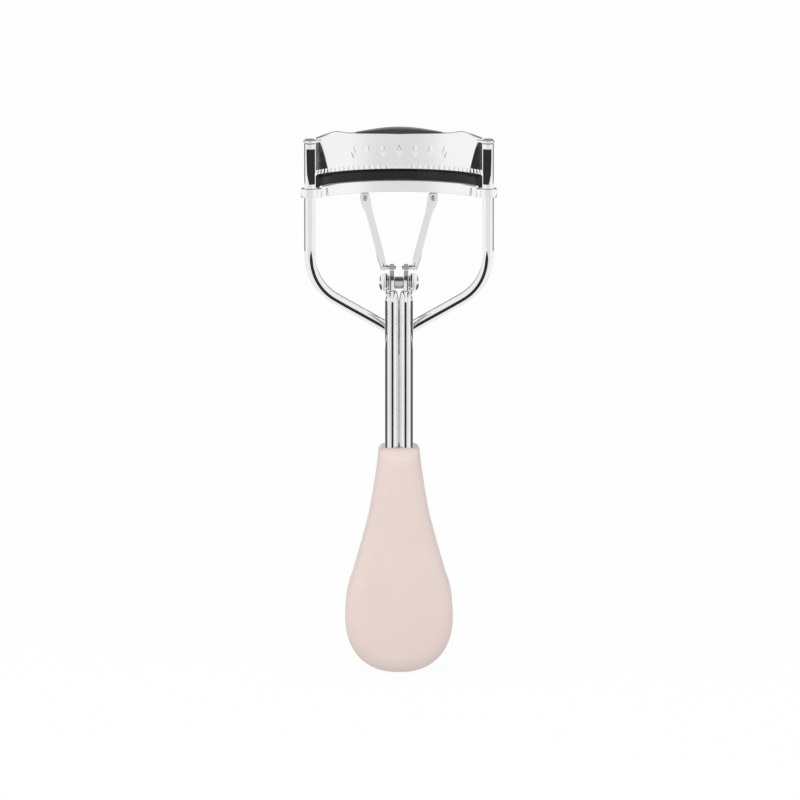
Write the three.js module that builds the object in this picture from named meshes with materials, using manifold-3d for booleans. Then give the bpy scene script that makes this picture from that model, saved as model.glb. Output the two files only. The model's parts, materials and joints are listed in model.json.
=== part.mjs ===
// Eyelash curler, closed: a wire frame with a fixed upper jaw, a front handle that swings
// about a cross pin, and a lower jaw that slides on the frame's two rails.
// Millimetres, +Z up. Everything is laid out from the cross pin's axis (x to the right,
// y to the back) and then shifted, so that the origin is under the grips.

import * as THREE from 'three';
import { mergeVertices } from 'three/addons/utils/BufferGeometryUtils.js';
import Module from 'manifold-3d';

const wasm = await Module();
wasm.setup();

// ---------------------------------------------------------------- driving dimensions

const SIDES = [['left', -1], ['right', 1]];
const DEG = Math.PI / 180;

// frame wires
const RAIL_X = 17.8;
const WIRE_R = 1.15;
const RAIL_TOP = 28.1;
const BEND_R = 10.1;
const BEND_TOP = 5.6;
const DIAGONAL_DEG = 30.7;
const NECK_R = 3.2;
const STEM_X = 1.25;
const STEM_Y = 1.85;
const STEM_END = -45;

// jaws: both follow one arc in plan
const ARC_Y = -8.5;
const PLATE_R = 18.5;
const PLATE_T = 1.2;
const PLATE_LOW = 21.75;
const PLATE_HIGH = 28.8;
const PLATE_END_X = 16.6;
const PLATE_HALF_ANGLE = 66 * DEG;
const TAB_LOW = 28.2;
const TAB_T = 0.45;
const TAB_R = 1.3;
const TAB_ROOT_Y = 1.3;
const TAB_ROOT_R = 0.78;
const TOOTH_COUNT = 34;
const TOOTH_PITCH = 1.15;
const TOOTH_GROOVE_R = 0.2;
const TOOTH_H = 0.9;
const LIP_HALF = 9;
const LIP_DEPTH = 1.7;
const LIP_T = 0.5;
const LIP_TILT = 40 * DEG;

const CHANNEL_R = 17.5;
const CHANNEL_W = 3.2;
const CHANNEL_LOW = 17.1;
const CHANNEL_HIGH = 19.5;
const CHANNEL_HALF_ANGLE = 61 * DEG;
const POCKET_HALF_ANGLE = 58 * DEG;
const PAD_HALF_ANGLE = 57.4 * DEG;
const SHEET_T = 0.6;
const EAR_R = 1.75;
const EAR_LOW = 17.2;
const EAR_HIGH = 19.1;
const PAD_TOP = 21.65;
const PAD_SOFT = 0.4;
const PAD_GAP = 0.1;
const SLIDE_GAP = 0.1;

// cross pin and what turns on it
const PIN_R = 0.8;
const PIN_HALF = 3.4;
const RUN_GAP = 0.08;
const FACE_GAP = 0.05;
const CHEEK_IN = 0.95;
const CHEEK_OUT = 1.9;
const BRACKET_IN = 2.3;
const BRACKET_T = 0.55;
const BRACKET_EAR_R = 1.9;
const CAP_R = 1.85;
const CAP_DEPTH = 1.2;
const WASHER_R = 1.5;
const SPACER_R = 1.25;

// front rods and lever
const ROD_R = 1.4;
const ROD_X = 1.43;
const ROD_Y = -2;
const ROD_TOP = -2.3;
const ROD_END = -46;
const CHEEK_R = 1.75;
const NECK_END_Z = -6;
const NECK_END_R = 0.9;
const LEVER_Y = 9;
const LEVER_Z = 1.84;
const LEVER_EYE_R = 0.75;
const LEVER_PIN_R = 0.35;
const LEVER_PIN_GAP = 0.05;
const RIVET_HEAD_T = 0.28;

// links
const KNUCKLE_IN = 2;
const KNUCKLE_OUT = 3.8;
const KNUCKLE_R = 0.75;
const LINK_FOOT_X = 3.1;
const LINK_FOOT_R = 0.6;
const LINK_TOP_X = 6.8;
const LINK_TOP_Z = 16.05;
const LINK_W = 1.45;
const LINK_T = 0.8;
const LINK_EYE_R = 0.88;
const JAW_RIVET_R = 0.38;
const RIVET_GAP = 0.04;
const LINK_HOLE_R = 0.55;
const SIDE_PLAY = 0.45;
const LUG_R = 0.95;

// grips
const GRIP_TOP = -32;
const GRIP_TOP_HALF = 4.2;
const GRIP_HALF = 10.8;
const GRIP_WIDE_Z = -66.6;
const GRIP_BOTTOM = -77.8;
const GRIP_T = 5.8;
const GRIP_GAP = 0.2;
const GRIP_CORNER = 1.6;
const GRIP_BEVEL = 1.3;
const SOCKET_GAP = 0.06;
const SOCKET_DEEPER = 0.3;

// ---------------------------------------------------------------- materials

const metal = (color, roughness) => new THREE.MeshStandardMaterial({ color, roughness, metalness: 1 });
const plastic = (color, roughness) => new THREE.MeshStandardMaterial({ color, roughness, metalness: 0 });

const chrome = () => metal(0xe4e4e6, 0.12);
const steel = () => metal(0xb4b5b8, 0.3);
const pinkPlastic = () => plastic(0xe5d4cd, 0.45);
const silicone = () => plastic(0x1c1c1d, 0.5);

// ---------------------------------------------------------------- solids

function toSolid(geometry) {
  const bare = (geometry.index ? geometry.toNonIndexed() : geometry).clone();
  bare.deleteAttribute('normal');
  bare.deleteAttribute('uv');
  const merged = mergeVertices(bare, 1e-4);
  return new wasm.Manifold(new wasm.Mesh({
    numProp: 3,
    vertProperties: new Float32Array(merged.attributes.position.array),
    triVerts: new Uint32Array(merged.index.array),
  }));
}

function toGeometry(solid) {
  const mesh = solid.getMesh();
  const geometry = new THREE.BufferGeometry();
  geometry.setAttribute('position', new THREE.BufferAttribute(new Float32Array(mesh.vertProperties), 3));
  geometry.setIndex(new THREE.BufferAttribute(new Uint32Array(mesh.triVerts), 1));
  geometry.computeVertexNormals();
  return geometry;
}

const joinAll = (solids) => solids.reduce((whole, solid) => whole.add(solid));
const cutAll = (solid, cutters) => cutters.reduce((rest, cutter) => rest.subtract(cutter), solid);

// cylinder along x, y or z between two coordinates on that axis
function rod(axis, radius, from, to, centre, segments = 20) {
  const geometry = new THREE.CylinderGeometry(radius, radius, Math.abs(to - from), segments);
  if (axis === 'x') geometry.rotateZ(Math.PI / 2);
  if (axis === 'z') geometry.rotateX(Math.PI / 2);
  const middle = new THREE.Vector3(centre.x ?? 0, centre.y ?? 0, centre.z ?? 0);
  middle[axis] = (from + to) / 2;
  geometry.translate(middle.x, middle.y, middle.z);
  return toSolid(geometry);
}

// round piece from a profile of (radius, place along z), starting and ending on the axis
function turned(profile, segments = 20) {
  const geometry = new THREE.LatheGeometry(profile, segments);
  geometry.rotateX(Math.PI / 2);
  return geometry;
}

// plan outline (x, y) raised from low to high
function raise(shape, low, high, curveSegments = 15) {
  const geometry = new THREE.ExtrudeGeometry(shape, { depth: high - low, bevelEnabled: false, curveSegments });
  geometry.translate(0, 0, low);
  return toSolid(geometry);
}

// front outline (x, z) run through from front to back
function through(shape, front, back, curveSegments = 5) {
  const geometry = new THREE.ExtrudeGeometry(shape, { depth: back - front, bevelEnabled: false, curveSegments });
  geometry.rotateX(Math.PI / 2);
  geometry.translate(0, back, 0);
  return toSolid(geometry);
}

// side outline drawn as (y, z), run across from x = from to x = to
function across(shape, from, to, curveSegments = 6) {
  const geometry = new THREE.ExtrudeGeometry(shape, { depth: to - from, bevelEnabled: false, curveSegments });
  geometry.rotateY(Math.PI / 2);
  geometry.rotateX(Math.PI / 2);
  geometry.translate(from, 0, 0);
  return toSolid(geometry);
}

// outline of a bar with a round end at each of two points
function roundBar(a, radiusA, b, radiusB) {
  const heading = Math.atan2(b.y - a.y, b.x - a.x);
  const spread = Math.acos((radiusA - radiusB) / Math.hypot(b.x - a.x, b.y - a.y));
  const shape = new THREE.Shape();
  shape.absarc(b.x, b.y, radiusB, heading - spread, heading + spread, false);
  shape.absarc(a.x, a.y, radiusA, heading + spread, heading + 2 * Math.PI - spread, false);
  shape.closePath();
  return shape;
}

const point = (x, y) => new THREE.Vector2(x, y);

// band between two radii round the jaws' arc centre, open at the front
function arcBand(inner, outer, halfAngle) {
  const middle = Math.PI / 2;
  const shape = new THREE.Shape();
  shape.absarc(0, ARC_Y, outer, middle - halfAngle, middle + halfAngle, false);
  shape.absarc(0, ARC_Y, inner, middle + halfAngle, middle - halfAngle, true);
  shape.closePath();
  return shape;
}

const railCutter = (side, radius, low, high) => rod('z', radius, low, high, { x: side * RAIL_X }, 24);

// ---------------------------------------------------------------- frame wires

// A wire's centre line as given stations, so that straight runs need few of them
class StationPath extends THREE.Curve {
  constructor(stations) {
    super();
    this.stations = stations;
  }

  getPoint(t, target = new THREE.Vector3()) {
    const place = THREE.MathUtils.clamp(t, 0, 1) * (this.stations.length - 1);
    const index = Math.min(Math.floor(place), this.stations.length - 2);
    return target.lerpVectors(this.stations[index], this.stations[index + 1], place - index);
  }

  getPointAt(u, target) {
    return this.getPoint(u, target);
  }

  getTangentAt(u, target) {
    return this.getTangent(u, target);
  }
}

// Rail down, bend, diagonal to the middle, and down again as the rear stem
function wireStations(side) {
  const turn = Math.PI / 2 - DIAGONAL_DEG * DEG;
  const bendX = RAIL_X - BEND_R;
  const neckX = STEM_X + NECK_R;
  const bendEnd = point(bendX + BEND_R * Math.cos(turn), BEND_TOP - BEND_R * Math.sin(turn));
  const neckStartX = neckX - NECK_R * Math.cos(turn);
  const neckStartZ = bendEnd.y - (bendEnd.x - neckStartX) * Math.tan(DIAGONAL_DEG * DEG);
  const neckZ = neckStartZ - NECK_R * Math.sin(turn);
  const towardsStem = (x) => STEM_Y * THREE.MathUtils.smoothstep(bendEnd.x - x, 0, bendEnd.x - neckStartX);
  const place = (x, z) => new THREE.Vector3(side * x, towardsStem(x), z);

  const stations = [place(RAIL_X, RAIL_TOP)];
  const bendSteps = 9;
  for (let i = 0; i <= bendSteps; i++) {
    const angle = turn * i / bendSteps;
    stations.push(place(bendX + BEND_R * Math.cos(angle), BEND_TOP - BEND_R * Math.sin(angle)));
  }
  const diagonalSteps = 6;
  for (let i = 1; i <= diagonalSteps; i++) {
    const share = i / diagonalSteps;
    stations.push(place(
      THREE.MathUtils.lerp(bendEnd.x, neckStartX, share),
      THREE.MathUtils.lerp(bendEnd.y, neckStartZ, share),
    ));
  }
  const neckSteps = 5;
  for (let i = neckSteps - 1; i >= 0; i--) {
    const angle = turn * i / neckSteps;
    stations.push(place(neckX - NECK_R * Math.cos(angle), neckZ + NECK_R * Math.sin(angle)));
  }
  stations.push(place(STEM_X, STEM_END));
  return stations;
}

function frameWire(side) {
  const stations = wireStations(side);
  const section = new THREE.Shape();
  section.absarc(0, 0, WIRE_R, 0, 2 * Math.PI, false);
  return new THREE.ExtrudeGeometry(section, {
    steps: stations.length - 1,
    curveSegments: 7,
    bevelEnabled: false,
    extrudePath: new StationPath(stations),
  });
}

// ---------------------------------------------------------------- upper jaw

// Front outline of the plate: flat middle, raised shoulders, falling to the rails
function plateOutline() {
  const shoulder = PLATE_HIGH + 0.55;
  const crest = PLATE_HIGH + 0.9;
  const half = [
    point(0, PLATE_HIGH), point(LIP_HALF, shoulder), point(11.8, shoulder),
    point(12.6, crest), point(14.2, shoulder + 0.15), point(PLATE_END_X, PLATE_HIGH),
  ];
  const left = half.slice(1).reverse().map((p) => point(-p.x, p.y));
  const top = new THREE.SplineCurve([...left, ...half]).getPoints(30);
  return new THREE.Shape([point(-PLATE_END_X, PLATE_LOW), point(PLATE_END_X, PLATE_LOW), ...top.reverse()]);
}

// Crescent rolled back from the plate's top edge
function plateLip() {
  const middleR = PLATE_R + PLATE_T / 2;
  const chordY = ARC_Y + Math.sqrt(middleR ** 2 - LIP_HALF ** 2);
  const rearY = ARC_Y + middleR + LIP_DEPTH;
  const rise = rearY - chordY;
  const rearR = (LIP_HALF ** 2 + rise ** 2) / (2 * rise);
  const rearAngle = Math.asin(LIP_HALF / rearR);
  const frontAngle = Math.asin(LIP_HALF / middleR);
  const shape = new THREE.Shape();
  shape.absarc(0, rearY - rearR, rearR, Math.PI / 2 - rearAngle, Math.PI / 2 + rearAngle, false);
  shape.absarc(0, ARC_Y, middleR - 0.3, Math.PI / 2 + frontAngle, Math.PI / 2 - frontAngle, true);
  shape.closePath();
  const geometry = new THREE.ExtrudeGeometry(shape, { depth: LIP_T, bevelEnabled: false, curveSegments: 8 });
  geometry.translate(0, -(ARC_Y + middleR), -LIP_T);
  geometry.rotateX(LIP_TILT);
  geometry.translate(0, ARC_Y + middleR, PLATE_HIGH);
  return toSolid(geometry);
}

// Tab over a rail's top, reaching back into the plate's end
function railTab(side) {
  const root = point(side * (PLATE_END_X - 0.4), TAB_ROOT_Y);
  return raise(roundBar(point(side * RAIL_X, 0), TAB_R, root, TAB_ROOT_R), TAB_LOW, TAB_LOW + TAB_T, 6);
}

// Upright grooves that leave a row of beads on the plate's lower front edge
function toothGrooves() {
  const step = TOOTH_PITCH / PLATE_R;
  const grooves = [];
  for (let i = 0; i < TOOTH_COUNT; i++) {
    const angle = Math.PI / 2 + (i - (TOOTH_COUNT - 1) / 2) * step;
    const centre = { x: PLATE_R * Math.cos(angle), y: ARC_Y + PLATE_R * Math.sin(angle) };
    grooves.push(rod('z', TOOTH_GROOVE_R, PLATE_LOW - 1, PLATE_LOW + TOOTH_H, centre, 4));
  }
  return grooves;
}

function upperJaw() {
  const band = raise(arcBand(PLATE_R, PLATE_R + PLATE_T, PLATE_HALF_ANGLE), PLATE_LOW - 1, PLATE_HIGH + 2);
  const plate = band.intersect(through(plateOutline(), ARC_Y, ARC_Y + 2 * PLATE_R));
  const whole = joinAll([plate, plateLip(), ...SIDES.map(([, side]) => railTab(side))]);
  const rivetHoles = SIDES.map(([, side]) => railCutter(side, PIN_R - 0.1, TAB_LOW - 1, PLATE_HIGH + 1));
  const railRoom = SIDES.map(([, side]) => railCutter(side, WIRE_R + SOCKET_GAP, PLATE_LOW - 1, TAB_LOW));
  return toGeometry(cutAll(whole, [...toothGrooves(), ...railRoom, ...rivetHoles]));
}

// Rivet through the tab: a low domed head on a short shank
function railRivet(side) {
  const clear = 0.03;
  const seat = TAB_LOW + TAB_T + clear;
  const low = RAIL_TOP + clear;
  const shankR = PIN_R - 0.16;
  const headR = 1.05;
  const rim = seat + 0.1;
  const headTop = seat + 0.3;
  const dome = [0, 1, 2, 3].map((i) => {
    const angle = i / 3 * Math.PI / 2;
    return point(headR * Math.cos(angle), THREE.MathUtils.lerp(rim, headTop, Math.sin(angle)));
  });
  dome[3].x = 0;
  const profile = [point(0, low), point(shankR, low), point(shankR, seat), point(headR, seat), ...dome];
  return turned(profile, 16).translate(side * RAIL_X, 0, 0);
}

// ---------------------------------------------------------------- cross pin assembly

// Folded sheet: a web behind the rear stem and two flared ears that hold the cross pin
function pivotBracket() {
  const webFront = STEM_Y + WIRE_R + GRIP_GAP;
  const webBack = webFront + BRACKET_T;
  const webTop = -4;
  const webLow = -15;
  const earTop = 2;
  const earLow = -7;
  const flareLow = -3.6;
  const flareTop = -1.7;
  const inset = 0.05;
  const innerX = STEM_X + 0.55;
  const outerX = innerX + BRACKET_T;
  const strips = SIDES.map(([, side]) => {
    const strip = [
      point(side * innerX, earLow), point(side * innerX, flareLow),
      point(side * BRACKET_IN, flareTop), point(side * BRACKET_IN, earTop),
      point(side * (BRACKET_IN + BRACKET_T), earTop), point(side * (BRACKET_IN + BRACKET_T), flareTop),
      point(side * outerX, flareLow), point(side * outerX, earLow),
    ];
    return through(new THREE.Shape(strip), -BRACKET_EAR_R - 1, webBack - inset);
  });
  const heel = point(webBack - 0.3, -4.9);
  const heelR = 0.9;
  const earSide = roundBar(point(0, 0), BRACKET_EAR_R, heel, heelR);
  const ears = joinAll(strips).intersect(across(earSide, -PIN_HALF, PIN_HALF, 8));
  const webHalf = outerX + inset;
  const webOutline = new THREE.Shape([
    point(-webHalf, webTop), point(-webHalf, webLow + 1), point(-innerX, webLow),
    point(innerX, webLow), point(webHalf, webLow + 1), point(webHalf, webTop),
  ]);
  const web = through(webOutline, webFront, webBack);
  const bore = rod('x', PIN_R + RUN_GAP / 2, -PIN_HALF, PIN_HALF, {}, 24);
  return toGeometry(ears.add(web).subtract(bore));
}

const crossPin = () => toGeometry(rod('x', PIN_R, -PIN_HALF, PIN_HALF, {}, 24));

// Ring on the cross pin between two coordinates
function ring(outer, from, to) {
  const bore = rod('x', PIN_R + RUN_GAP / 2, -PIN_HALF, PIN_HALF, {}, 24);
  return toGeometry(rod('x', outer, from, to, {}, 20).subtract(bore));
}

const washer = (side) => ring(WASHER_R, side * (CHEEK_OUT + FACE_GAP), side * (BRACKET_IN - FACE_GAP));

const spacer = () => ring(SPACER_R, FACE_GAP - CHEEK_IN, CHEEK_IN - FACE_GAP);

// Domed cap with a blind hole over the pin's end
function pinCap(side) {
  const seat = BRACKET_IN + BRACKET_T + FACE_GAP;
  const holeR = PIN_R + RUN_GAP / 2;
  const holeEnd = PIN_HALF + FACE_GAP;
  const rim = 0.25;
  const arc = [0, 1, 2, 3, 4].map((i) => {
    const angle = i / 4 * Math.PI / 2;
    return point(CAP_R * Math.cos(angle), seat + rim + (CAP_DEPTH - rim) * Math.sin(angle));
  });
  arc[4].x = 0;
  const profile = [point(0, holeEnd), point(holeR, holeEnd), point(holeR, seat), point(CAP_R, seat), ...arc];
  const geometry = turned(profile, 24);
  geometry.rotateY(side * Math.PI / 2);
  return geometry;
}

// ---------------------------------------------------------------- front handle

// Bore for both lever pins, through levers and links alike
const leverPinBore = () => rod(
  'x', LEVER_PIN_R + LEVER_PIN_GAP, -KNUCKLE_OUT - 1, KNUCKLE_OUT + 1, { y: LEVER_Y, z: LEVER_Z }, 16,
);

// Round rod whose top is flattened into a cheek on the pin and a lever arm behind it
function frontRod(side) {
  const round = rod('z', ROD_R, ROD_END, ROD_TOP, { x: side * ROD_X, y: ROD_Y }, 20);
  const from = Math.min(side * CHEEK_IN, side * CHEEK_OUT);
  const to = Math.max(side * CHEEK_IN, side * CHEEK_OUT);
  const neck = across(roundBar(point(0, 0), CHEEK_R, point(ROD_Y, NECK_END_Z), NECK_END_R), from, to);
  const lever = across(roundBar(point(0, 0), CHEEK_R, point(LEVER_Y, LEVER_Z), LEVER_EYE_R), from, to);
  const pinBore = rod('x', PIN_R + RUN_GAP, -PIN_HALF, PIN_HALF, {}, 24);
  return toGeometry(cutAll(joinAll([round, neck, lever]), [pinBore, leverPinBore()]));
}

// Pin that carries a link on the lever's end, headed on both sides
function leverPin(side) {
  const headR = 0.55;
  const inner = CHEEK_IN - RUN_GAP;
  const outer = KNUCKLE_OUT + RUN_GAP;
  const profile = [
    point(0, inner - RIVET_HEAD_T), point(headR, inner - RIVET_HEAD_T), point(headR, inner),
    point(LEVER_PIN_R, inner), point(LEVER_PIN_R, outer),
    point(headR, outer), point(headR, outer + RIVET_HEAD_T), point(0, outer + RIVET_HEAD_T),
  ];
  const geometry = turned(profile, 16);
  geometry.rotateY(side * Math.PI / 2);
  return geometry.translate(0, LEVER_Y, LEVER_Z);
}

// ---------------------------------------------------------------- links

// Flat strap from the lever's pin up to the jaw: a cross knuckle below, an eye above
function linkArm(side) {
  const foot = point(side * LINK_FOOT_X, LEVER_Z);
  const head = point(side * LINK_TOP_X, LINK_TOP_Z);
  const front = LEVER_Y - LINK_T / 2;
  const back = LEVER_Y + LINK_T / 2;
  const strap = through(roundBar(foot, LINK_FOOT_R, head, LINK_W / 2), front, back);
  const eye = rod('y', LINK_EYE_R, front, back, { x: head.x, z: head.y }, 20);
  const knuckle = rod('x', KNUCKLE_R, side * KNUCKLE_IN, side * KNUCKLE_OUT, { y: LEVER_Y, z: LEVER_Z }, 20);
  const rivetHole = rod('y', LINK_HOLE_R, front - 1, back + 1, { x: head.x, z: head.y }, 16);
  return toGeometry(cutAll(joinAll([strap, eye, knuckle]), [leverPinBore(), rivetHole]));
}

// ---------------------------------------------------------------- lower jaw

const LUG_FRONT = LEVER_Y + LINK_T / 2 + SIDE_PLAY;

function lowerJaw() {
  const band = raise(arcBand(CHANNEL_R, CHANNEL_R + CHANNEL_W, CHANNEL_HALF_ANGLE), CHANNEL_LOW, CHANNEL_HIGH);
  const pocketBand = arcBand(CHANNEL_R + SHEET_T, CHANNEL_R + CHANNEL_W - SHEET_T, POCKET_HALF_ANGLE);
  const pocket = raise(pocketBand, CHANNEL_LOW + SHEET_T, CHANNEL_HIGH + 1);
  const ears = SIDES.map(([, side]) => railCutter(side, EAR_R, EAR_LOW, EAR_HIGH));
  const lugs = SIDES.map(([, side]) => {
    const foot = point(side * LINK_TOP_X, LINK_TOP_Z);
    const root = point(side * LINK_TOP_X, CHANNEL_LOW + SHEET_T / 2);
    return through(roundBar(foot, LUG_R, root, LUG_R), LUG_FRONT, LUG_FRONT + SHEET_T);
  });
  const railHoles = SIDES.map(([, side]) => railCutter(side, WIRE_R + SLIDE_GAP, EAR_LOW - 1, EAR_HIGH + 1));
  const rivetHoles = SIDES.map(([, side]) => rod(
    'y', JAW_RIVET_R + RIVET_GAP, LUG_FRONT - 1, LUG_FRONT + 2,
    { x: side * LINK_TOP_X, z: LINK_TOP_Z }, 16,
  ));
  return toGeometry(cutAll(joinAll([band, ...ears, ...lugs]), [pocket, ...railHoles, ...rivetHoles]));
}

// Curling pad: fills the channel and stands above it, with softened edges
function siliconePad() {
  const inner = CHANNEL_R + SHEET_T + PAD_GAP;
  const outer = CHANNEL_R + CHANNEL_W - SHEET_T - PAD_GAP;
  const low = CHANNEL_LOW + SHEET_T + PAD_GAP;
  const geometry = new THREE.ExtrudeGeometry(arcBand(inner, outer, PAD_HALF_ANGLE), {
    depth: PAD_TOP - low - 2 * PAD_SOFT,
    curveSegments: 13,
    bevelThickness: PAD_SOFT,
    bevelSize: PAD_SOFT,
    bevelOffset: -PAD_SOFT,
    bevelSegments: 2,
  });
  return geometry.translate(0, 0, low + PAD_SOFT);
}

// Rivet from the lug through the link's eye, with play in front of and behind the strap
function jawRivet(side) {
  const frontHead = LEVER_Y - LINK_T / 2 - SIDE_PLAY;
  const rearHead = LUG_FRONT + SHEET_T + RIVET_GAP;
  const headR = 0.65;
  const profile = [
    point(0, frontHead - RIVET_HEAD_T), point(headR, frontHead - RIVET_HEAD_T), point(headR, frontHead),
    point(JAW_RIVET_R, frontHead), point(JAW_RIVET_R, rearHead),
    point(headR, rearHead), point(headR, rearHead + RIVET_HEAD_T), point(0, rearHead + RIVET_HEAD_T),
  ];
  const geometry = turned(profile, 16);
  geometry.rotateX(-Math.PI / 2);
  return geometry.translate(side * LINK_TOP_X, 0, LINK_TOP_Z);
}

// ---------------------------------------------------------------- grips

// Teardrop outline: narrow neck, swelling flanks, closed by a squarish round bottom
function gripOutline() {
  const depth = GRIP_WIDE_Z - GRIP_BOTTOM;
  const cornerSteps = 3;
  const corner = [];
  for (let i = 0; i < cornerSteps; i++) {
    const angle = (1 - i / cornerSteps) * Math.PI / 2;
    corner.push(point(
      GRIP_TOP_HALF - GRIP_CORNER * (1 - Math.cos(angle)),
      GRIP_TOP - GRIP_CORNER * (1 - Math.sin(angle)),
    ));
  }
  const flank = new THREE.SplineCurve([
    point(GRIP_TOP_HALF, GRIP_TOP - GRIP_CORNER), point(4.65, -38.5), point(6.2, -47.4),
    point(8.8, -57), point(10.35, -62.2), point(GRIP_HALF, GRIP_WIDE_Z),
  ]).getPoints(13);
  const bottomSteps = 9;
  const squareness = 2 / 2.3;
  const bottom = [];
  for (let i = 1; i < bottomSteps; i++) {
    const angle = i / bottomSteps * Math.PI / 2;
    bottom.push(point(
      GRIP_HALF * Math.cos(angle) ** squareness,
      GRIP_WIDE_Z - depth * Math.sin(angle) ** squareness,
    ));
  }
  const right = [...corner, ...flank, ...bottom];
  const left = right.map((p) => point(-p.x, p.y)).reverse();
  return new THREE.Shape([...right, point(0, GRIP_BOTTOM), ...left]);
}

// Slab with rounded edges from y = low to low + GRIP_T, drilled from its top for two rods
function grip(low, socketR, socketX, socketY, socketEnd) {
  const geometry = new THREE.ExtrudeGeometry(gripOutline(), {
    depth: GRIP_T - 2 * GRIP_BEVEL,
    bevelThickness: GRIP_BEVEL,
    bevelSize: GRIP_BEVEL,
    bevelOffset: -GRIP_BEVEL,
    bevelSegments: 3,
  });
  geometry.rotateX(Math.PI / 2);
  geometry.translate(0, low + GRIP_T - GRIP_BEVEL, 0);
  const sockets = SIDES.map(([, side]) => rod(
    'z', socketR, socketEnd, GRIP_TOP + 1, { x: side * socketX, y: socketY }, 20,
  ));
  return toGeometry(cutAll(toSolid(geometry), sockets));
}

const frontGrip = () => grip(-GRIP_GAP - GRIP_T, ROD_R + SOCKET_GAP, ROD_X, ROD_Y, ROD_END - SOCKET_DEEPER);
const rearGrip = () => grip(GRIP_GAP, WIRE_R + SOCKET_GAP, STEM_X, STEM_Y, STEM_END - SOCKET_DEEPER);

// ---------------------------------------------------------------- assembly

function named(name, geometry, material) {
  const mesh = new THREE.Mesh(geometry, material);
  mesh.name = name;
  return mesh;
}

// One named mesh on each side
const pair = (name, make, material) => SIDES.map(([word, side]) => named(`${name}_${word}`, make(side), material()));

function frameGroup() {
  const group = new THREE.Group();
  group.add(named('upper_jaw', upperJaw(), chrome()));
  group.add(...pair('frame_wire', frameWire, chrome));
  group.add(...pair('rail_rivet', railRivet, steel));
  group.add(named('pivot_bracket', pivotBracket(), chrome()));
  group.add(named('pivot_pin', crossPin(), steel()));
  group.add(named('pivot_spacer', spacer(), steel()));
  group.add(...pair('pivot_washer', washer, steel));
  group.add(...pair('pivot_cap', pinCap, chrome));
  group.add(named('rear_grip', rearGrip(), pinkPlastic()));
  return group;
}

function handleGroup() {
  const group = new THREE.Group();
  group.add(named('front_grip', frontGrip(), pinkPlastic()));
  group.add(...pair('front_rod', frontRod, chrome));
  group.add(...pair('lever_pin', leverPin, steel));
  return group;
}

function jawGroup() {
  const group = new THREE.Group();
  group.add(named('lower_jaw', lowerJaw(), chrome()));
  group.add(named('silicone_pad', siliconePad(), silicone()));
  group.add(...pair('jaw_rivet', jawRivet, steel));
  return group;
}

const curler = new THREE.Group();
curler.add(frameGroup(), handleGroup(), jawGroup(), ...pair('link_arm', linkArm, chrome));

// origin: bottom of the grips, midway between the outermost front and back
const FRONT = -GRIP_GAP - GRIP_T;
const BACK = ARC_Y + CHANNEL_R + CHANNEL_W;
curler.position.set(0, -(FRONT + BACK) / 2, -GRIP_BOTTOM);

export default curler;
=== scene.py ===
"""Eyelash curler: fine meshes, materials, soft studio and camera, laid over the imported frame.

Shapes are worked out in millimetres from the cross pin's axis, with x to the right,
y to the back and z up, and are moved to the frame's place when a piece is made.
"""
import json
from math import acos, asin, atan2, copysign, cos, hypot, pi, radians, sin, sqrt, tan

import bpy
import numpy as np
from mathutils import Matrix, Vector


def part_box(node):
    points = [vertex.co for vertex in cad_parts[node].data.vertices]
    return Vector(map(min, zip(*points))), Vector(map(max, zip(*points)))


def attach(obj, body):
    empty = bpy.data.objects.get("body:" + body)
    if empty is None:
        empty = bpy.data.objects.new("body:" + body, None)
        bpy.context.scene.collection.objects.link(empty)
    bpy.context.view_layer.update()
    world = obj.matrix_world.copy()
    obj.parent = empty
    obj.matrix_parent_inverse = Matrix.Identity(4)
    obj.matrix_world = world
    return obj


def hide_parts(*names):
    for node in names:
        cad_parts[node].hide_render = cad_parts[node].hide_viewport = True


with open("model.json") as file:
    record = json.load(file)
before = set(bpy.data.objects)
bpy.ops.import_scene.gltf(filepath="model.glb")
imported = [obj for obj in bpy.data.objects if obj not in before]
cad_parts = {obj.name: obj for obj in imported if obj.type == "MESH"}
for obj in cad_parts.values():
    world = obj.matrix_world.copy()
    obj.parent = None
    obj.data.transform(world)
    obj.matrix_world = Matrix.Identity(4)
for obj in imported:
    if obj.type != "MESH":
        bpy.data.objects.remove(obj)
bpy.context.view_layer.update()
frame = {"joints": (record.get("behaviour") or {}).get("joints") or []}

MM = 0.001
SIDES = (("left", -1), ("right", 1))
HINGE = next(j for j in frame["joints"] if j["name"] == "handle_hinge")
PIVOT = np.array(HINGE["pos_m"], float)


def span(node):
    """Lowest and highest corner of a CAD node, in millimetres from the cross pin."""
    low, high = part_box(node)
    return (np.array(low) - PIVOT) / MM, (np.array(high) - PIVOT) / MM


# ---- places from the frame ----

WIRE_LOW, WIRE_HIGH = span("frame_wire_right")
PLATE_BOTTOM = span("upper_jaw")[0][2]
RAIL_RIVET_BOTTOM = span("rail_rivet_right")[0][2]
JAW_HIGH = span("lower_jaw")[1]
PAD_LOW, PAD_HIGH = span("silicone_pad")
JAW_RIVET_LOW, JAW_RIVET_HIGH = span("jaw_rivet_right")
PIN_LOW, PIN_HIGH = span("pivot_pin")
CAP_LOW, CAP_HIGH = span("pivot_cap_right")
WASHER_LOW, WASHER_HIGH = span("pivot_washer_right")
SPACER_LOW, SPACER_HIGH = span("pivot_spacer")
BRACKET_LOW, BRACKET_HIGH = span("pivot_bracket")
ROD_LOW, ROD_HIGH = span("front_rod_right")
LEVER_PIN_LOW, LEVER_PIN_HIGH = span("lever_pin_right")
GRIP_LOW, GRIP_HIGH = span("front_grip")
REAR_GRIP_LOW, REAR_GRIP_HIGH = span("rear_grip")

# ---- driving dimensions ----

# rounded edges of small parts, and how far pins run past or stop short of a seat
FINE_EDGE = 0.1
SOFT_EDGE = 0.2
END_GAP = 0.05

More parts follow.
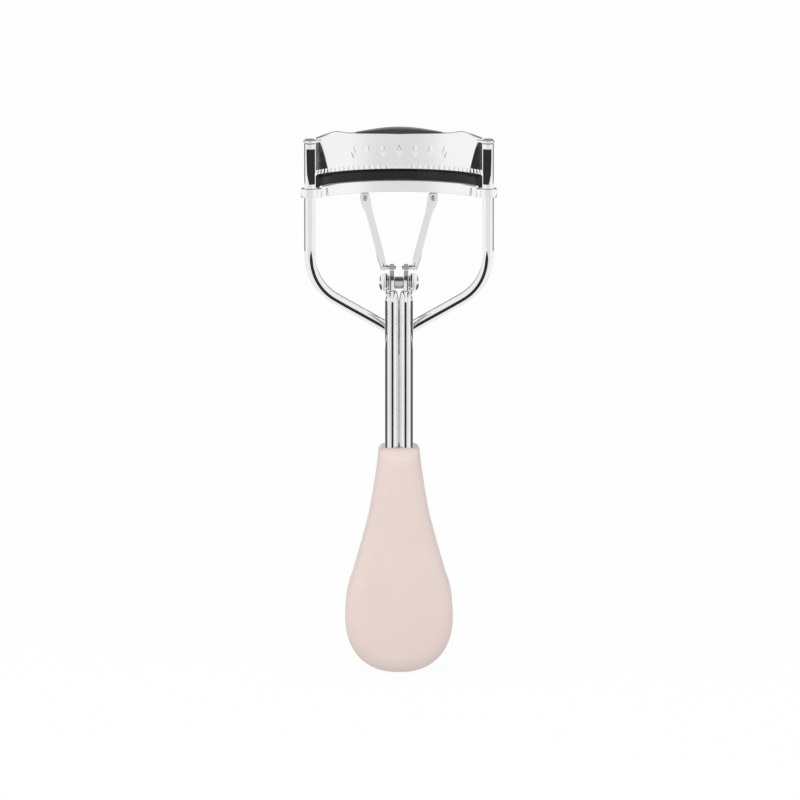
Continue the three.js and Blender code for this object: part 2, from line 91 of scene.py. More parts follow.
# frame wires
WIRE_R = 1.15
WIRE_RIM = 0.15
RAIL_X = WIRE_HIGH[0] - WIRE_R
RAIL_TOP = WIRE_HIGH[2]
STEM_X = 1.25
STEM_Y = WIRE_HIGH[1] - WIRE_R
STEM_END = WIRE_LOW[2]
BEND_R = 10.1
BEND_TOP = 5.6
DIAGONAL = radians(30.7)
NECK_R = 3.2

# upper jaw: plate, its top edge, its tabs and the rivets through them
ARC_Y = -8.5
PLATE_R = 18.5
PLATE_T = 1.2
PLATE_BACK_R = PLATE_R + PLATE_T
PLATE_TOP = 28.8
PLATE_END = 16.58
PLATE_STATIONS = 477
PLATE_TOP_X = (0.0, 6.0, 8.8, 10.6, 12.0, 12.8, 14.2, 15.7, 16.6, 20.0)
PLATE_TOP_RISE = (0.0, 0.2, 0.37, 0.5, 0.9, 1.05, 0.8, 0.5, 0.3, 0.3)
TOP_EASE = 0.5
FACE_DROP = 0.35
FACE_TURN = ((0.02, -0.16), (0.08, -0.07))
BACK_DROP = 0.8
FOOT_CORNER = 0.25
FOOT_ROUND = (0.08, 0.07)
FOOT_FRONT = 0.35
TAB_BOTTOM = 28.2
TAB_T = 0.45
TAB_TOP = TAB_BOTTOM + TAB_T
TAB_R = 1.3
TAB_EDGE = 0.1
TAB_ROOT = (PLATE_END - 0.4, 1.3)
TAB_ROOT_R = TAB_R * 0.6
RAIL_RIVET_R = 1.0
RAIL_RIVET_RISE = 0.28
RAIL_SHANK_R = 0.62

# upper jaw: teeth on the lower edge, pressed marks, and the lip over the face
TOOTH_PITCH = 1.15
TOOTH_H = 0.9
TOOTH_FADE = 0.35
TOOTH_DEPTH = 0.22
GROOVE_SHARE = 0.62
LOZENGES = 7
LOZENGE_PITCH = 3.2
LOZENGE_W = 1.2
LOZENGE_H = 2.9
LOZENGE_Z = 25.4
LOZENGE_DEPTH = 0.22
LOZENGE_SLOPE = 0.45
LIP_HALF = 9.0
LIP_HALF_T = 0.22
LIP_DEPTH = 1.75
LIP_LEAST = 0.16
LIP_TAPER = 1.6
LIP_EASE = (LIP_HALF - 1.0, LIP_HALF + 0.6)
LIP_ROOT = np.array((0.32, -0.2))
LIP_ROOT_SHIFT = np.array((-0.08, -0.12))
LIP_ROOT_TILT = radians(58)
LIP_TIP_TILT = radians(24)
LIP_UPRIGHT_TILT = radians(86)
LIP_UNDER = 0.5

# lower jaw and pad
CHANNEL_R = 17.5
CHANNEL_W = 3.2
CHANNEL_LOW = 17.1
CHANNEL_HIGH = JAW_HIGH[2]
CHANNEL_HALF = radians(61)
CHANNEL_EDGE = 0.28
SHEET_T = 0.6
EAR_LOW = 17.2
EAR_HIGH = 19.1
EAR_R = JAW_HIGH[0] - RAIL_X
EAR_HOLE_R = 1.25
EAR_EDGE = 0.5
TONGUE_R = 0.3
TONGUE_ANGLE = radians(58.5)
TONGUE_END = (RAIL_X - 1.45, -0.85)
TONGUE_END_R = 0.32
LUG_R = 0.9
LUG_ROOT_R = 0.95
LUG_ROOT_Z = CHANNEL_LOW + 0.2
PAD_HALF = radians(57.4)
PAD_GAP = 0.1
PAD_END_ROUND = 0.5
PAD_END_SHRINK = 0.12
CROWN_H = 0.85
CROWN_SQUARENESS = 0.8

# cross pin, its small parts and the bracket
PIN_R = 0.8
PIN_GAP = 0.04
PIN_EDGE = 0.15
WASHER_EDGE = 0.03
SPACER_R = (SPACER_HIGH[2] - SPACER_LOW[2]) / 2
WASHER_R = (WASHER_HIGH[2] - WASHER_LOW[2]) / 2
CAP_R = (CAP_HIGH[2] - CAP_LOW[2]) / 2
CAP_RIM = 0.25
CAP_EDGE = 0.12
BRACKET_IN = 2.3
BRACKET_T = 0.55
BRACKET_OUT = BRACKET_IN + BRACKET_T
BRACKET_EAR_R = 1.9
BRACKET_FOOT_R = 0.75
BRACKET_FOOT = (BRACKET_HIGH[1] - 0.76, -4.9)
BRACKET_EDGE = 0.04
BRACKET_STEP = 0.3
FLARE_LOW = -3.6
FLARE_HIGH = -1.7
WEB_IN = STEM_X + 0.55
WEB_HALF = WEB_IN + BRACKET_T + 0.05
WEB_TOP = -4.0
WEB_CORNER = 1.0

# front rods: cheek round the pin, flattened top and lever
CHEEK_IN = 0.95
CHEEK_OUT = 1.9
CHEEK_R = 1.75
CHEEK_GAP = 0.08
CHEEK_EDGE = 0.14
ROD_R = (ROD_HIGH[0] - ROD_LOW[0]) / 2
ROD_X = (ROD_HIGH[0] + ROD_LOW[0]) / 2
ROD_Y = ROD_LOW[1] + ROD_R
ROD_ROUND_TOP = -3.3
ROD_FLAT_TOP = -1.3
FLAT_X = 1.22
FLAT_Y = -1.55
FLAT_HALF_X = 0.92
FLAT_HALF_Y = 1.15
FLAT_SQUARENESS = 0.45
FLAT_EASE = 0.3
FLAT_CLOSE = 0.5
NECK_END = (ROD_Y, -6.0)
NECK_END_R = 0.9
NECK_CORNER = 1.1
LEVER_Y = (LEVER_PIN_LOW[1] + LEVER_PIN_HIGH[1]) / 2
LEVER_Z = (LEVER_PIN_LOW[2] + LEVER_PIN_HIGH[2]) / 2
LEVER_HEADING = atan2(LEVER_Z, LEVER_Y)
LEVER_EYE_R = 0.75
LEVER_PIN_R = 0.35
LEVER_PIN_GAP = 0.05
LEVER_PIN_HEAD_R = 0.42
LEVER_PIN_HEAD_T = 0.28
LEVER_PIN_OVER = 0.3

# links and the rivets that hang them on the lower jaw
KNUCKLE_IN = 2.0
KNUCKLE_OUT = 3.3
KNUCKLE_R = 0.5
LINK_FOOT_X = 3.1
LINK_FOOT_R = 0.62
LINK_TOP_X = (JAW_RIVET_LOW[0] + JAW_RIVET_HIGH[0]) / 2
LINK_TOP_Z = (JAW_RIVET_LOW[2] + JAW_RIVET_HIGH[2]) / 2
LINK_W = 1.45
LINK_T = 0.8
LINK_EYE_R = 0.98
LINK_HOLE_R = 0.55
LINK_FOOT_SHARE = 0.15
LINK_HEAD_SHARES = (0.72, 0.96)
SIDE_PLAY = 0.45
JAW_RIVET_R = 0.38
JAW_RIVET_HEAD_R = 0.5
JAW_RIVET_HEAD_T = 0.2
HOLLOW_R = 0.3
HOLLOW_END = LEVER_Y + 1.2

# grips
GRIP_TOP = GRIP_HIGH[2] - 0.85
GRIP_BOTTOM = GRIP_LOW[2] - 0.45
GRIP_HALF = GRIP_HIGH[0]
GRIP_TOP_HALF = 4.2
GRIP_WIDE_Z = -66.6
GRIP_CORNER = 1.6
GRIP_FLANK_X = (GRIP_TOP_HALF, 4.65, 6.2, 8.8, 10.35, GRIP_HALF)
GRIP_FLANK_Z = (GRIP_TOP - GRIP_CORNER, -38.5, -47.4, -57.0, -62.2, GRIP_WIDE_Z)
GRIP_SQUARENESS = 2 / 2.3
GRIP_RIM = 3.4
GRIP_RIM_DEPTH = 2.4
GRIP_BACK_RIM = 0.9
CORNER_POWER = 5
GRIP_ROWS = 150
GRIP_COLUMNS = 73

# camera: far back with a long lens, a little above the object
CAMERA_ELEVATION = radians(8.5)
VIEW = np.array((0.0, cos(CAMERA_ELEVATION), -sin(CAMERA_ELEVATION)))
CAMERA_DISTANCE = 2000.0
CAMERA_REACH_M = 20
SENSOR_WIDTH = 36
VIEW_WIDTH = 160.0
AIM = (0.2, 0.0, -23.66)

# pieces that the other pieces don't mirror, so that the metal stays calm
NOT_MIRRORED = ("frame_wire", "upper_jaw", "lower_jaw", "silicone_pad", "jaw_rivet")

# studio: floor, lamps, and cards that only reflections see, with how far off they are seen
FLOOR_HALF = 4000.0
LAMP_TARGET = (0, 0, -50.0)
# tones of the cards: painted dark and pale reflections on the metal
DARK = 0.03
PALE = 0.92
CARD_NEAREST = 0.85
CARD_FARTHEST = 1.17
SIDE_CARD_X = 26.0
SIDE_CARD_BACK = 30.0
DIAGONAL_CARD_TOP = 7.2
DIAGONAL_CARD_IN = 2.4
RAIL_SLEEVE_R = 1.55
RAIL_SLEEVE_END = 85
RAIL_SLEEVE_STEPS = 24
RAIL_SLEEVE = ((19.8, -8), (20.7, -22), (21.9, -38), (24.5, -44), (26.9, -46))
WING_CARD_X = 12.5
WING_CARD = ((2.65, 21.4), (3.78, 21.4), (3.4, 24.0), (3.05, 26.2), (2.78, 27.9), (2.65, 27.9))


# ---- mesh tools ----


def placed(points):
    """Points in millimetres from the cross pin, as the frame's metres."""
    return np.asarray(points, float) * MM + PIVOT


def new_object(name, data):
    obj = bpy.data.objects.new(name, data)
    bpy.context.scene.collection.objects.link(obj)
    return obj


def make_piece(node, parts, finish, body="frame", sharp_deg=38):
    """Fine object from parts of (points, faces); it rides on a body and stands for a CAD node."""
    name = f"{node}.fine"
    points, faces = join(parts)
    mesh = bpy.data.meshes.new(name)
    mesh.from_pydata(placed(points).tolist(), [], faces)
    mesh.validate()
    mesh.polygons.foreach_set("use_smooth", [True] * len(mesh.polygons))
    mesh.set_sharp_from_angle(angle=radians(sharp_deg))
    mesh.materials.append(MATERIALS[finish])
    mesh.update()
    obj = new_object(name, mesh)
    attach(obj, body)
    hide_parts(node)
    obj.visible_glossy = not node.startswith(NOT_MIRRORED)


def join(parts):
    """Points and faces of all parts, each welded and with its faces outwards."""
    points = []
    faces = []
    start = 0
    for part in parts:
        part_points, part_faces = facing_out(*merged(*part))
        points.append(part_points)
        faces.extend([tuple(i + start for i in face) for face in part_faces])
        start += len(part_points)
    return np.vstack(points), faces


def grid_faces(rows, columns, around=False):
    """Faces between neighbouring rows of points; around also joins the last column to the first."""
    faces = []
    for i in range(rows - 1):
        row, above = i * columns, (i + 1) * columns
        for j in range(columns if around else columns - 1):
            k = (j + 1) % columns
            faces.append((row + j, row + k, above + k, above + j))
    return faces


def loft(rings):
    """Closed rings of points joined in order, with a flat face at each end."""
    rings = np.asarray(rings, float)
    rows, columns = rings.shape[:2]
    faces = grid_faces(rows, columns, around=True)
    faces.append(tuple(range(columns))[::-1])
    faces.append(tuple((rows - 1) * columns + j for j in range(columns)))
    return rings.reshape(-1, 3), faces


def facing_out(points, faces):
    """The same faces, turned so that their volume is positive."""
    volume = 0.0
    for face in faces:
        a = points[face[0]]
        for b, c in zip(face[1:-1], face[2:]):
            volume += np.dot(a, np.cross(points[b], points[c]))
    return points, faces if volume >= 0 else [face[::-1] for face in faces]


def merged(points, faces, distance=1e-4):
    """Points closer than the distance become one; faces that collapse are left out."""
    keys = np.round(points / distance).astype(np.int64)
    _, first, index = np.unique(keys, axis=0, return_index=True, return_inverse=True)
    index = index.reshape(-1)
    kept = []
    for face in faces:
        ring = [int(index[i]) for i in face]
        ring = [v for i, v in enumerate(ring) if v != ring[i - 1]]
        if len(ring) > 2:
            kept.append(tuple(ring))
    return points[first], kept


def all_round(steps):
    return np.linspace(0, 2 * pi, steps, endpoint=False)


def directions(path):
    """Unit heading at each point of a path."""
    headings = np.gradient(np.asarray(path, float), axis=0)
    return headings / np.linalg.norm(headings, axis=1)[:, None]


def sweep(path, radii, sides=32):
    """Round rod along a path, with one radius for each point."""
    path = np.asarray(path, float)
    headings = directions(path)
    across = np.cross(headings[0], (0.0, 1.0, 0.0))
    rings = []
    for point, heading, radius in zip(path, headings, radii):
        across = across - heading * np.dot(across, heading)
        across /= np.linalg.norm(across)
        other = np.cross(heading, across)
        rings.append([point + radius * (cos(a) * across + sin(a) * other)
                      for a in all_round(sides)])
    return loft(rings)


AXES = {"x": (1, 2, 0), "y": (2, 0, 1), "z": (0, 1, 2)}


def turned(profile, axis, centre=(0, 0, 0), flip=1, sides=40):
    """Solid turned about an axis from (radius, place) points that start and end on the axis,
    or that close on themselves when no point is on the axis."""
    u, v, w = AXES[axis]
    angles = all_round(sides)
    rings = []
    for radius, place in profile:
        ring = np.tile(np.array(centre, float), (sides, 1))
        ring[:, u] += radius * np.cos(angles)
        ring[:, v] += radius * np.sin(angles)
        ring[:, w] += flip * place
        rings.append(ring)
    if min(radius for radius, _ in profile) > 0:
        rings.append(rings[0])
    return np.vstack(rings), grid_faces(len(rings), sides, around=True)


def soften(points, radius, closed, steps=4):
    """A polyline with its corners rounded."""
    points = [np.array(p, float) for p in points]
    count = len(points)
    result = []
    for i, corner in enumerate(points):
        if not closed and i in (0, count - 1):
            result.append(corner)
            continue
        back = points[i - 1] - corner
        ahead = points[(i + 1) % count] - corner
        reach = min(radius, 0.49 * np.linalg.norm(back), 0.49 * np.linalg.norm(ahead))
        start = corner + back / np.linalg.norm(back) * reach
        end = corner + ahead / np.linalg.norm(ahead) * reach
        for step in range(steps + 1):
            t = step / steps
            result.append((1 - t) ** 2 * start + 2 * t * (1 - t) * corner + t ** 2 * end)
    return result


def solid_profile(corners, edge):
    """Profile to turn, from the axis out and back, with its corners rounded."""
    return [(max(r, 0.0), place) for r, place in soften(corners, edge, closed=False)]


def block_profile(radius, low, high, edge):
    return solid_profile([(0, low), (radius, low), (radius, high), (0, high)], edge)


def ring_profile(hole, radius, low, high, edge, steps=4):
    corners = [(hole, low), (radius, low), (radius, high), (hole, high)]
    return [tuple(p) for p in soften(corners, edge, closed=True, steps=steps)]


def point_on(centre, radius, angle):
    return centre[0] + radius * cos(angle), centre[1] + radius * sin(angle)


def arc(centre, radius, start, end, steps):
    """Points on a circle between two angles."""
    return [point_on(centre, radius, a) for a in np.linspace(start, end, steps + 1)]


def circle(centre, radius, steps=32):
    return [point_on(centre, radius, a) for a in all_round(steps)]


def tangent_spread(radius_a, radius_b, distance):
    """Angle between the line of centres of two circles and the radii to their common tangents."""
    return acos((radius_a - radius_b) / distance)


def bar_outline(a, radius_a, b, radius_b, steps=16):
    """Outline of a bar with a round end at each of two points, anticlockwise."""
    heading = atan2(b[1] - a[1], b[0] - a[0])
    spread = tangent_spread(radius_a, radius_b, hypot(b[0] - a[0], b[1] - a[1]))
    far = arc(b, radius_b, heading - spread, heading + spread, steps)
    near = arc(a, radius_a, heading + spread, heading + 2 * pi - spread, steps)
    return far + near


def plate(outline, holes, axis, low, high, edge):
    """Sheet with rounded edges: outline and holes lie in the plane across the axis."""
    curve = bpy.data.curves.new("outline", "CURVE")
    curve.dimensions = "2D"
    curve.fill_mode = "BOTH"
    curve.extrude = (high - low) / 2 - edge
    curve.bevel_depth = edge
    curve.bevel_resolution = 2
    curve.offset = -edge
    for points in [outline, *[hole[::-1] for hole in holes]]:
        spline = curve.splines.new("POLY")
        spline.points.add(len(points) - 1)
        for target, (u, v) in zip(spline.points, points):
            target.co = (u, v, 0, 1)
        spline.use_cyclic_u = True
    obj = new_object("outline", curve)
    evaluated = obj.evaluated_get(bpy.context.evaluated_depsgraph_get())
    mesh = bpy.data.meshes.new_from_object(evaluated)
    flat = np.array([v.co for v in mesh.vertices], float)
    faces = [tuple(p.vertices) for p in mesh.polygons]
    bpy.data.objects.remove(obj)
    bpy.data.curves.remove(curve)
    bpy.data.meshes.remove(mesh)
    order = {"x": (2, 0, 1), "y": (0, 2, 1), "z": (0, 1, 2)}[axis]
    points = flat[:, order].copy()
    points[:, "xyz".index(axis)] += (low + high) / 2
    return points, faces


def smoothstep(x, low, high):
    t = np.clip((x - low) / (high - low), 0, 1)
    return t * t * (3 - 2 * t)


def squared(value, power):
    """Signed power: below 1 it turns a circle's cosine and sine into a squarer outline."""
    return copysign(abs(value) ** power, value)



# ---- materials ----


class Nodes:
    """Small helper to build a node tree with one call for each node."""

    def __init__(self, tree):
        self.tree = tree
        tree.nodes.clear()

    def put(self, value, socket):
        """A link from another node's output, or a plain value."""
        if isinstance(value, bpy.types.NodeSocket):
            self.tree.links.new(value, socket)
        else:
            socket.default_value = value

    def add(self, kind, inputs=None, **settings):
        node = self.tree.nodes.new(kind)
        for key, value in settings.items():
            setattr(node, key, value)
        for key, value in (inputs or {}).items():
            self.put(value, node.inputs[key])
        return node

    def math(self, operation, a, b=0.0):
        return self.add("ShaderNodeMath", {0: a, 1: b}, operation=operation).outputs[0]

    def range(self, value, low, high, to_low=0.0, to_high=1.0):
        inputs = {"Value": value, "From Min": low, "From Max": high, "To Min": to_low, "To Max": to_high}
        return self.add("ShaderNodeMapRange", inputs, interpolation_type="SMOOTHSTEP").outputs[0]

    def mix(self, factor, a, b):
        """Colour between two plain colours."""
        inputs = {0: factor, 6: (*a, 1), 7: (*b, 1)}
        return self.add("ShaderNodeMix", inputs, data_type="RGBA").outputs[2]

    def blend(self, factor, a, b):
        """Shader between two shaders."""
        return self.add("ShaderNodeMixShader", {0: factor, 1: a.outputs[0], 2: b.outputs[0]})

    def place(self):
        return self.add("ShaderNodeTexCoord").outputs["Object"]

    def noise(self, place, scale, detail=3.0, roughness=0.5):
        inputs = {"Vector": place, "Scale": scale, "Detail": detail, "Roughness": roughness}
        return self.add("ShaderNodeTexNoise", inputs).outputs["Fac"]

    def surface(self, base, rough, height, strength, depth, extra):
        """Principled surface with a fine bump of a depth in millimetres."""
        grain = {"Height": height, "Strength": strength, "Distance": depth * MM}
        bump = self.add("ShaderNodeBump", grain)
        inputs = {"Base Color": base, "Roughness": rough, "Normal": bump.outputs[0], **extra}
        self.finish(self.add("ShaderNodeBsdfPrincipled", inputs))

    def finish(self, shader):
        self.add("ShaderNodeOutputMaterial", {"Surface": shader.outputs[0]})


def new_material(name):
    material = bpy.data.materials.new(name)
    material.use_nodes = True
    return material, Nodes(material.node_tree)


def plated_metal(name, color, dull, smudge, scratch):
    """Bright plating: faint uneven sheen, handling smudges and hairline scratches."""
    material, nodes = new_material(name)
    place = nodes.place()
    cloud = nodes.noise(place, 90.0, 4.0)
    fine = nodes.noise(place, 900.0)
    stretched = nodes.add("ShaderNodeMapping", {"Vector": place, "Scale": (2600.0, 2600.0, 120.0)})
    lines = nodes.noise(stretched.outputs[0], 1.0, 2.0)
    smudges = nodes.range(cloud, 0.35, 0.7, dull, dull + smudge)
    rough = nodes.math("ADD", smudges, nodes.range(lines, 0.62, 0.8, 0.0, scratch))
    tint = nodes.mix(nodes.range(cloud, 0.3, 0.75), color, tuple(c * 0.95 for c in color))
    height = nodes.math("ADD", nodes.math("MULTIPLY", fine, 0.6), nodes.math("MULTIPLY", lines, 0.4))
    nodes.surface(tint, rough, height, 0.04, 0.02, {"Metallic": 1.0})
    return material


def satin_plastic(name, color, mottled):
    """Moulded plastic: soft skin, very fine texture and slight mottling."""
    material, nodes = new_material(name)
    place = nodes.place()
    mottle = nodes.noise(place, 60.0)
    skin = nodes.noise(place, 2500.0, 2.0)
    wave = nodes.noise(place, 220.0, 2.0)
    base = nodes.mix(nodes.range(mottle, 0.3, 0.7), color, mottled)
    rough = nodes.range(wave, 0.3, 0.7, 0.36, 0.46)
    height = nodes.math("ADD", nodes.math("MULTIPLY", skin, 0.25), nodes.math("MULTIPLY", wave, 0.75))
    nodes.surface(base, rough, height, 0.12, 0.05, {
        "Subsurface Weight": 0.12, "Subsurface Radius": (0.004, 0.002, 0.0015), "Subsurface Scale": 0.4,
    })
    return material


def silicone_rubber(name, color, dusty):
    """Silicone: dull sheen, faint dusty patches, fine grain."""
    material, nodes = new_material(name)
    place = nodes.place()
    dust = nodes.noise(place, 300.0, 5.0, 0.6)
    grain = nodes.noise(place, 4000.0, 2.0)
    base = nodes.mix(nodes.range(dust, 0.5, 0.8), color, dusty)
    rough = nodes.range(dust, 0.3, 0.7, 0.3, 0.45)
    nodes.surface(base, rough, grain, 0.15, 0.03, {"Specular IOR Level": 0.32})
    return material


MATERIALS = {
    "chrome": plated_metal("chrome", (0.93, 0.93, 0.94), dull=0.05, smudge=0.05, scratch=0.06),
    "steel": plated_metal("steel", (0.66, 0.66, 0.68), dull=0.2, smudge=0.1, scratch=0.1),
    "pink_plastic": satin_plastic("pink_plastic", (0.672, 0.565, 0.523), (0.652, 0.545, 0.504)),
    "silicone": silicone_rubber("silicone", (0.004, 0.004, 0.0045), (0.016, 0.016, 0.017)),
}


# ---- frame wires ----


def wire_path(side):
    """Rail down, bend, diagonal to the middle, and down again as the rear stem."""
    turn = pi / 2 - DIAGONAL
    bend_x = RAIL_X - BEND_R
    neck_x = STEM_X + NECK_R
    bend_end_x = bend_x + BEND_R * cos(turn)
    bend_end_z = BEND_TOP - BEND_R * sin(turn)
    neck_start_x = neck_x - NECK_R * cos(turn)
    neck_start_z = bend_end_z - (bend_end_x - neck_start_x) * tan(DIAGONAL)
    neck_z = neck_start_z - NECK_R * sin(turn)
    points = [(RAIL_X, z) for z in np.linspace(RAIL_TOP, BEND_TOP, 24)]
    points += arc((bend_x, BEND_TOP), BEND_R, 0, -turn, 35)[1:]
    points += list(zip(np.linspace(bend_end_x, neck_start_x, 24)[1:],
                       np.linspace(bend_end_z, neck_start_z, 24)[1:]))
    points += arc((neck_x, neck_z), NECK_R, pi - turn, pi, 19)[1:]
    points += [(STEM_X, z) for z in np.linspace(neck_z, STEM_END, 16)[1:]]
    path = []
    for x, z in points:
        back = STEM_Y * float(smoothstep(bend_end_x - x, 0, bend_end_x - neck_start_x))
        path.append((side * x, back, z))
    return path


def build_wires():
    for word, side in SIDES:
        path = wire_path(side)
        top = path[0]
        rim = (top[0], top[1], top[2] - WIRE_RIM)
        radii = [WIRE_R - WIRE_RIM, *[WIRE_R] * len(path)]
        make_piece(f"frame_wire_{word}", [sweep([top, rim, *path[1:]], radii)], "chrome")


# ---- upper jaw ----


def plate_top(x):
    """Height of the plate's top edge: flat middle, raised shoulders, falling to the rails."""
    near = abs(x) + np.linspace(-TOP_EASE, TOP_EASE, 9)
    return PLATE_TOP + float(np.interp(np.abs(near), PLATE_TOP_X, PLATE_TOP_RISE).mean())


def lip_length(x):
    """How far the rolled lip reaches back at x; a small roll stays outside the crescent."""
    share = min(abs(x) / LIP_HALF, 1.0)
    return LIP_LEAST + (LIP_DEPTH - LIP_LEAST) * (1 - share ** LIP_TAPER)


def lip_line(length, upright, steps=10):
    """Middle of the rolled lip from its root, with its heading: steep first and flatter at the tip,
    and the more upright the further it is outside the crescent."""
    place = np.zeros(2)
    line = []
    for share in np.linspace(0.0, 1.0, steps):
        tilt = LIP_ROOT_TILT + (LIP_TIP_TILT - LIP_ROOT_TILT) * share
        tilt += (LIP_UPRIGHT_TILT - tilt) * upright
        along = np.array([cos(tilt), sin(tilt)])
        line.append((place.copy(), along, np.array([-along[1], along[0]])))
        place += along * length / (steps - 1)
    return line


def groove(distance, rise):
    """Depth of the upright grooves that leave a row of teeth on the plate's lower edge."""
    off_middle = abs((distance / TOOTH_PITCH) % 1.0 - 0.5) * 2
    across_share = max(0.0, 1 - (off_middle / GROOVE_SHARE) ** 2)
    return TOOTH_DEPTH * across_share * float(1 - smoothstep(rise, TOOTH_H - TOOTH_FADE, TOOTH_H))


def pressed_mark(distance, z):
    """Depth of a plain row of lozenges pressed into the plate's face."""
    index = round(distance / LOZENGE_PITCH)
    if abs(index) > (LOZENGES - 1) / 2:
        return 0.0
    across_share = abs(distance - index * LOZENGE_PITCH) / (LOZENGE_W / 2)
    up_share = abs(z - LOZENGE_Z) / (LOZENGE_H / 2)
    return LOZENGE_DEPTH * float(smoothstep(1 - across_share - up_share, 0.0, LOZENGE_SLOPE))


def face_section(distance, top):
    """Front of the plate's section, from the toothed lower edge up to the lip's root."""
    face_h = top - PLATE_BOTTOM - FACE_DROP
    rises = [*np.linspace(0.0, TOOTH_H, 12), *np.linspace(TOOTH_H, face_h, 44)[1:]]
    section = []
    for rise in rises:
        z = PLATE_BOTTOM + rise
        section.append((PLATE_R + groove(distance, rise) + pressed_mark(distance, z), z))
    return section + [(PLATE_R + out, top + up) for out, up in FACE_TURN]


def lip_section(x, top):
    """Lip of the plate's section: over its top, round its tip, and back under it to the plate."""
    upright = float(smoothstep(abs(x), *LIP_EASE))
    root = np.array((PLATE_R, top)) + LIP_ROOT + LIP_ROOT_SHIFT * upright
    line = lip_line(lip_length(x), upright)
    section = [tuple(root + place + normal * LIP_HALF_T) for place, _, normal in line]
    place, along, normal = line[-1]
    for angle in np.linspace(pi / 2, -pi / 2, 6)[1:-1]:
        outward = along * cos(angle) + normal * sin(angle)
        section.append(tuple(root + place + LIP_HALF_T * outward))
    for place, _, normal in line[::-1]:
        radius, z = root + place - normal * LIP_HALF_T
        outside = radius > PLATE_BACK_R + 0.02
        section.append((radius, z) if outside else (PLATE_BACK_R + 0.01, min(z, top - LIP_UNDER)))
    return section


def plate_section(x_share):
    """Closed section of the plate at a share (-1 to 1) of its width, as (radius, height)."""
    turn = x_share * asin(PLATE_END / PLATE_R)
    x = PLATE_R * sin(turn)
    top = plate_top(x)
    section = face_section(PLATE_R * turn, top) + lip_section(x, top)
    section += [(PLATE_BACK_R, z) for z in np.linspace(top - BACK_DROP, PLATE_BOTTOM + FOOT_CORNER, 10)]
    return section + [(PLATE_BACK_R - FOOT_ROUND[0], PLATE_BOTTOM + FOOT_ROUND[1]),
                      (PLATE_BACK_R - FOOT_CORNER, PLATE_BOTTOM), (PLATE_R + FOOT_FRONT, PLATE_BOTTOM)]


def upper_plate():
    rings = []
    for x_share in np.linspace(-1, 1, PLATE_STATIONS):
        ring = []
        for radius, z in plate_section(x_share):
            angle = x_share * asin(min(PLATE_END / radius, 1.0))
            ring.append(arc_place(radius, angle, z))
        rings.append(ring)
    return loft(rings)


def rail_tab(side):
    root_x, root_y = TAB_ROOT
    outline = bar_outline((side * RAIL_X, 0), TAB_R, (side * root_x, root_y), TAB_ROOT_R)
    return plate(outline, [], "z", TAB_BOTTOM, TAB_TOP, TAB_EDGE)


def build_upper_jaw():
    parts = [upper_plate(), *[rail_tab(side) for _, side in SIDES]]
    make_piece("upper_jaw", parts, "chrome", sharp_deg=50)
    head = block_profile(RAIL_RIVET_R, TAB_TOP, TAB_TOP + RAIL_RIVET_RISE, FINE_EDGE)
    shank = block_profile(RAIL_SHANK_R, RAIL_RIVET_BOTTOM, TAB_TOP + END_GAP, END_GAP)
    for word, side in SIDES:
        parts = [turned(profile, "z", (side * RAIL_X, 0, 0)) for profile in (head, shank)]
        make_piece(f"rail_rivet_{word}", parts, "steel")


# ---- lower jaw and pad ----


def arc_place(radius, angle, z):
    """Point at a radius and an angle from the jaws' middle."""
    return radius * sin(angle), ARC_Y + radius * cos(angle), z


def channel_section():
    """U-shaped section of the lower jaw, as (radius, height)."""
    front, back = CHANNEL_R, CHANNEL_R + CHANNEL_W
    inner_front, inner_back = front + SHEET_T, back - SHEET_T
    floor = CHANNEL_LOW + SHEET_T
    corners = [
        (front, CHANNEL_LOW), (front, CHANNEL_HIGH), (inner_front, CHANNEL_HIGH), (inner_front, floor),
        (inner_back, floor), (inner_back, CHANNEL_HIGH), (back, CHANNEL_HIGH), (back, CHANNEL_LOW),
    ]
    return soften(corners, CHANNEL_EDGE, closed=True, steps=5)


def rail_ear(side):
    profile = ring_profile(EAR_HOLE_R, EAR_R, EAR_LOW, EAR_HIGH, EAR_EDGE, steps=7)
    return turned(profile, "z", (side * RAIL_X, 0, 0), sides=56)


def ear_tongue(side):
    """Bar from the end of the channel's front wall to the ear."""
    wall_x, wall_y, _ = arc_place(CHANNEL_R + TONGUE_R, TONGUE_ANGLE, 0)
    end_x, end_y = TONGUE_END
    outline = bar_outline((side * wall_x, wall_y), TONGUE_R, (side * end_x, end_y), TONGUE_END_R)
    return plate(outline, [], "z", EAR_LOW, EAR_HIGH, SOFT_EDGE)


def link_lug(side):
    """Tab below the channel that carries a link's rivet."""
    front = LEVER_Y + LINK_T / 2 + SIDE_PLAY
    x = side * LINK_TOP_X
    outline = bar_outline((x, LINK_TOP_Z), LUG_R, (x, LUG_ROOT_Z), LUG_ROOT_R)
    return plate(outline, [], "y", front, front + SHEET_T, FINE_EDGE)


def build_lower_jaw():
    angles = np.linspace(-CHANNEL_HALF, CHANNEL_HALF, 121)
    parts = [loft([[arc_place(r, angle, z) for r, z in channel_section()] for angle in angles])]
    for _, side in SIDES:
        parts += [rail_ear(side), ear_tongue(side), link_lug(side)]
    make_piece("lower_jaw", parts, "chrome", "lower_jaw_body")


def pad_section():
    """Rounded crown over a straight-sided root."""
    front = CHANNEL_R + SHEET_T + PAD_GAP
    back = CHANNEL_R + CHANNEL_W - SHEET_T - PAD_GAP
    low, high = PAD_LOW[2], PAD_HIGH[2]
    middle, half = (front + back) / 2, (back - front) / 2
    crown_start = high - CROWN_H
    half_way = (low + crown_start) / 2
    section = [(back, low), (front, low), (front, half_way), (front, crown_start)]
    for angle in np.linspace(pi, 0, 22)[1:-1]:
        across_share = squared(cos(angle), CROWN_SQUARENESS)
        up_share = squared(sin(angle), CROWN_SQUARENESS)
        section.append((middle + half * across_share, crown_start + CROWN_H * up_share))
    return section + [(back, crown_start), (back, half_way)]


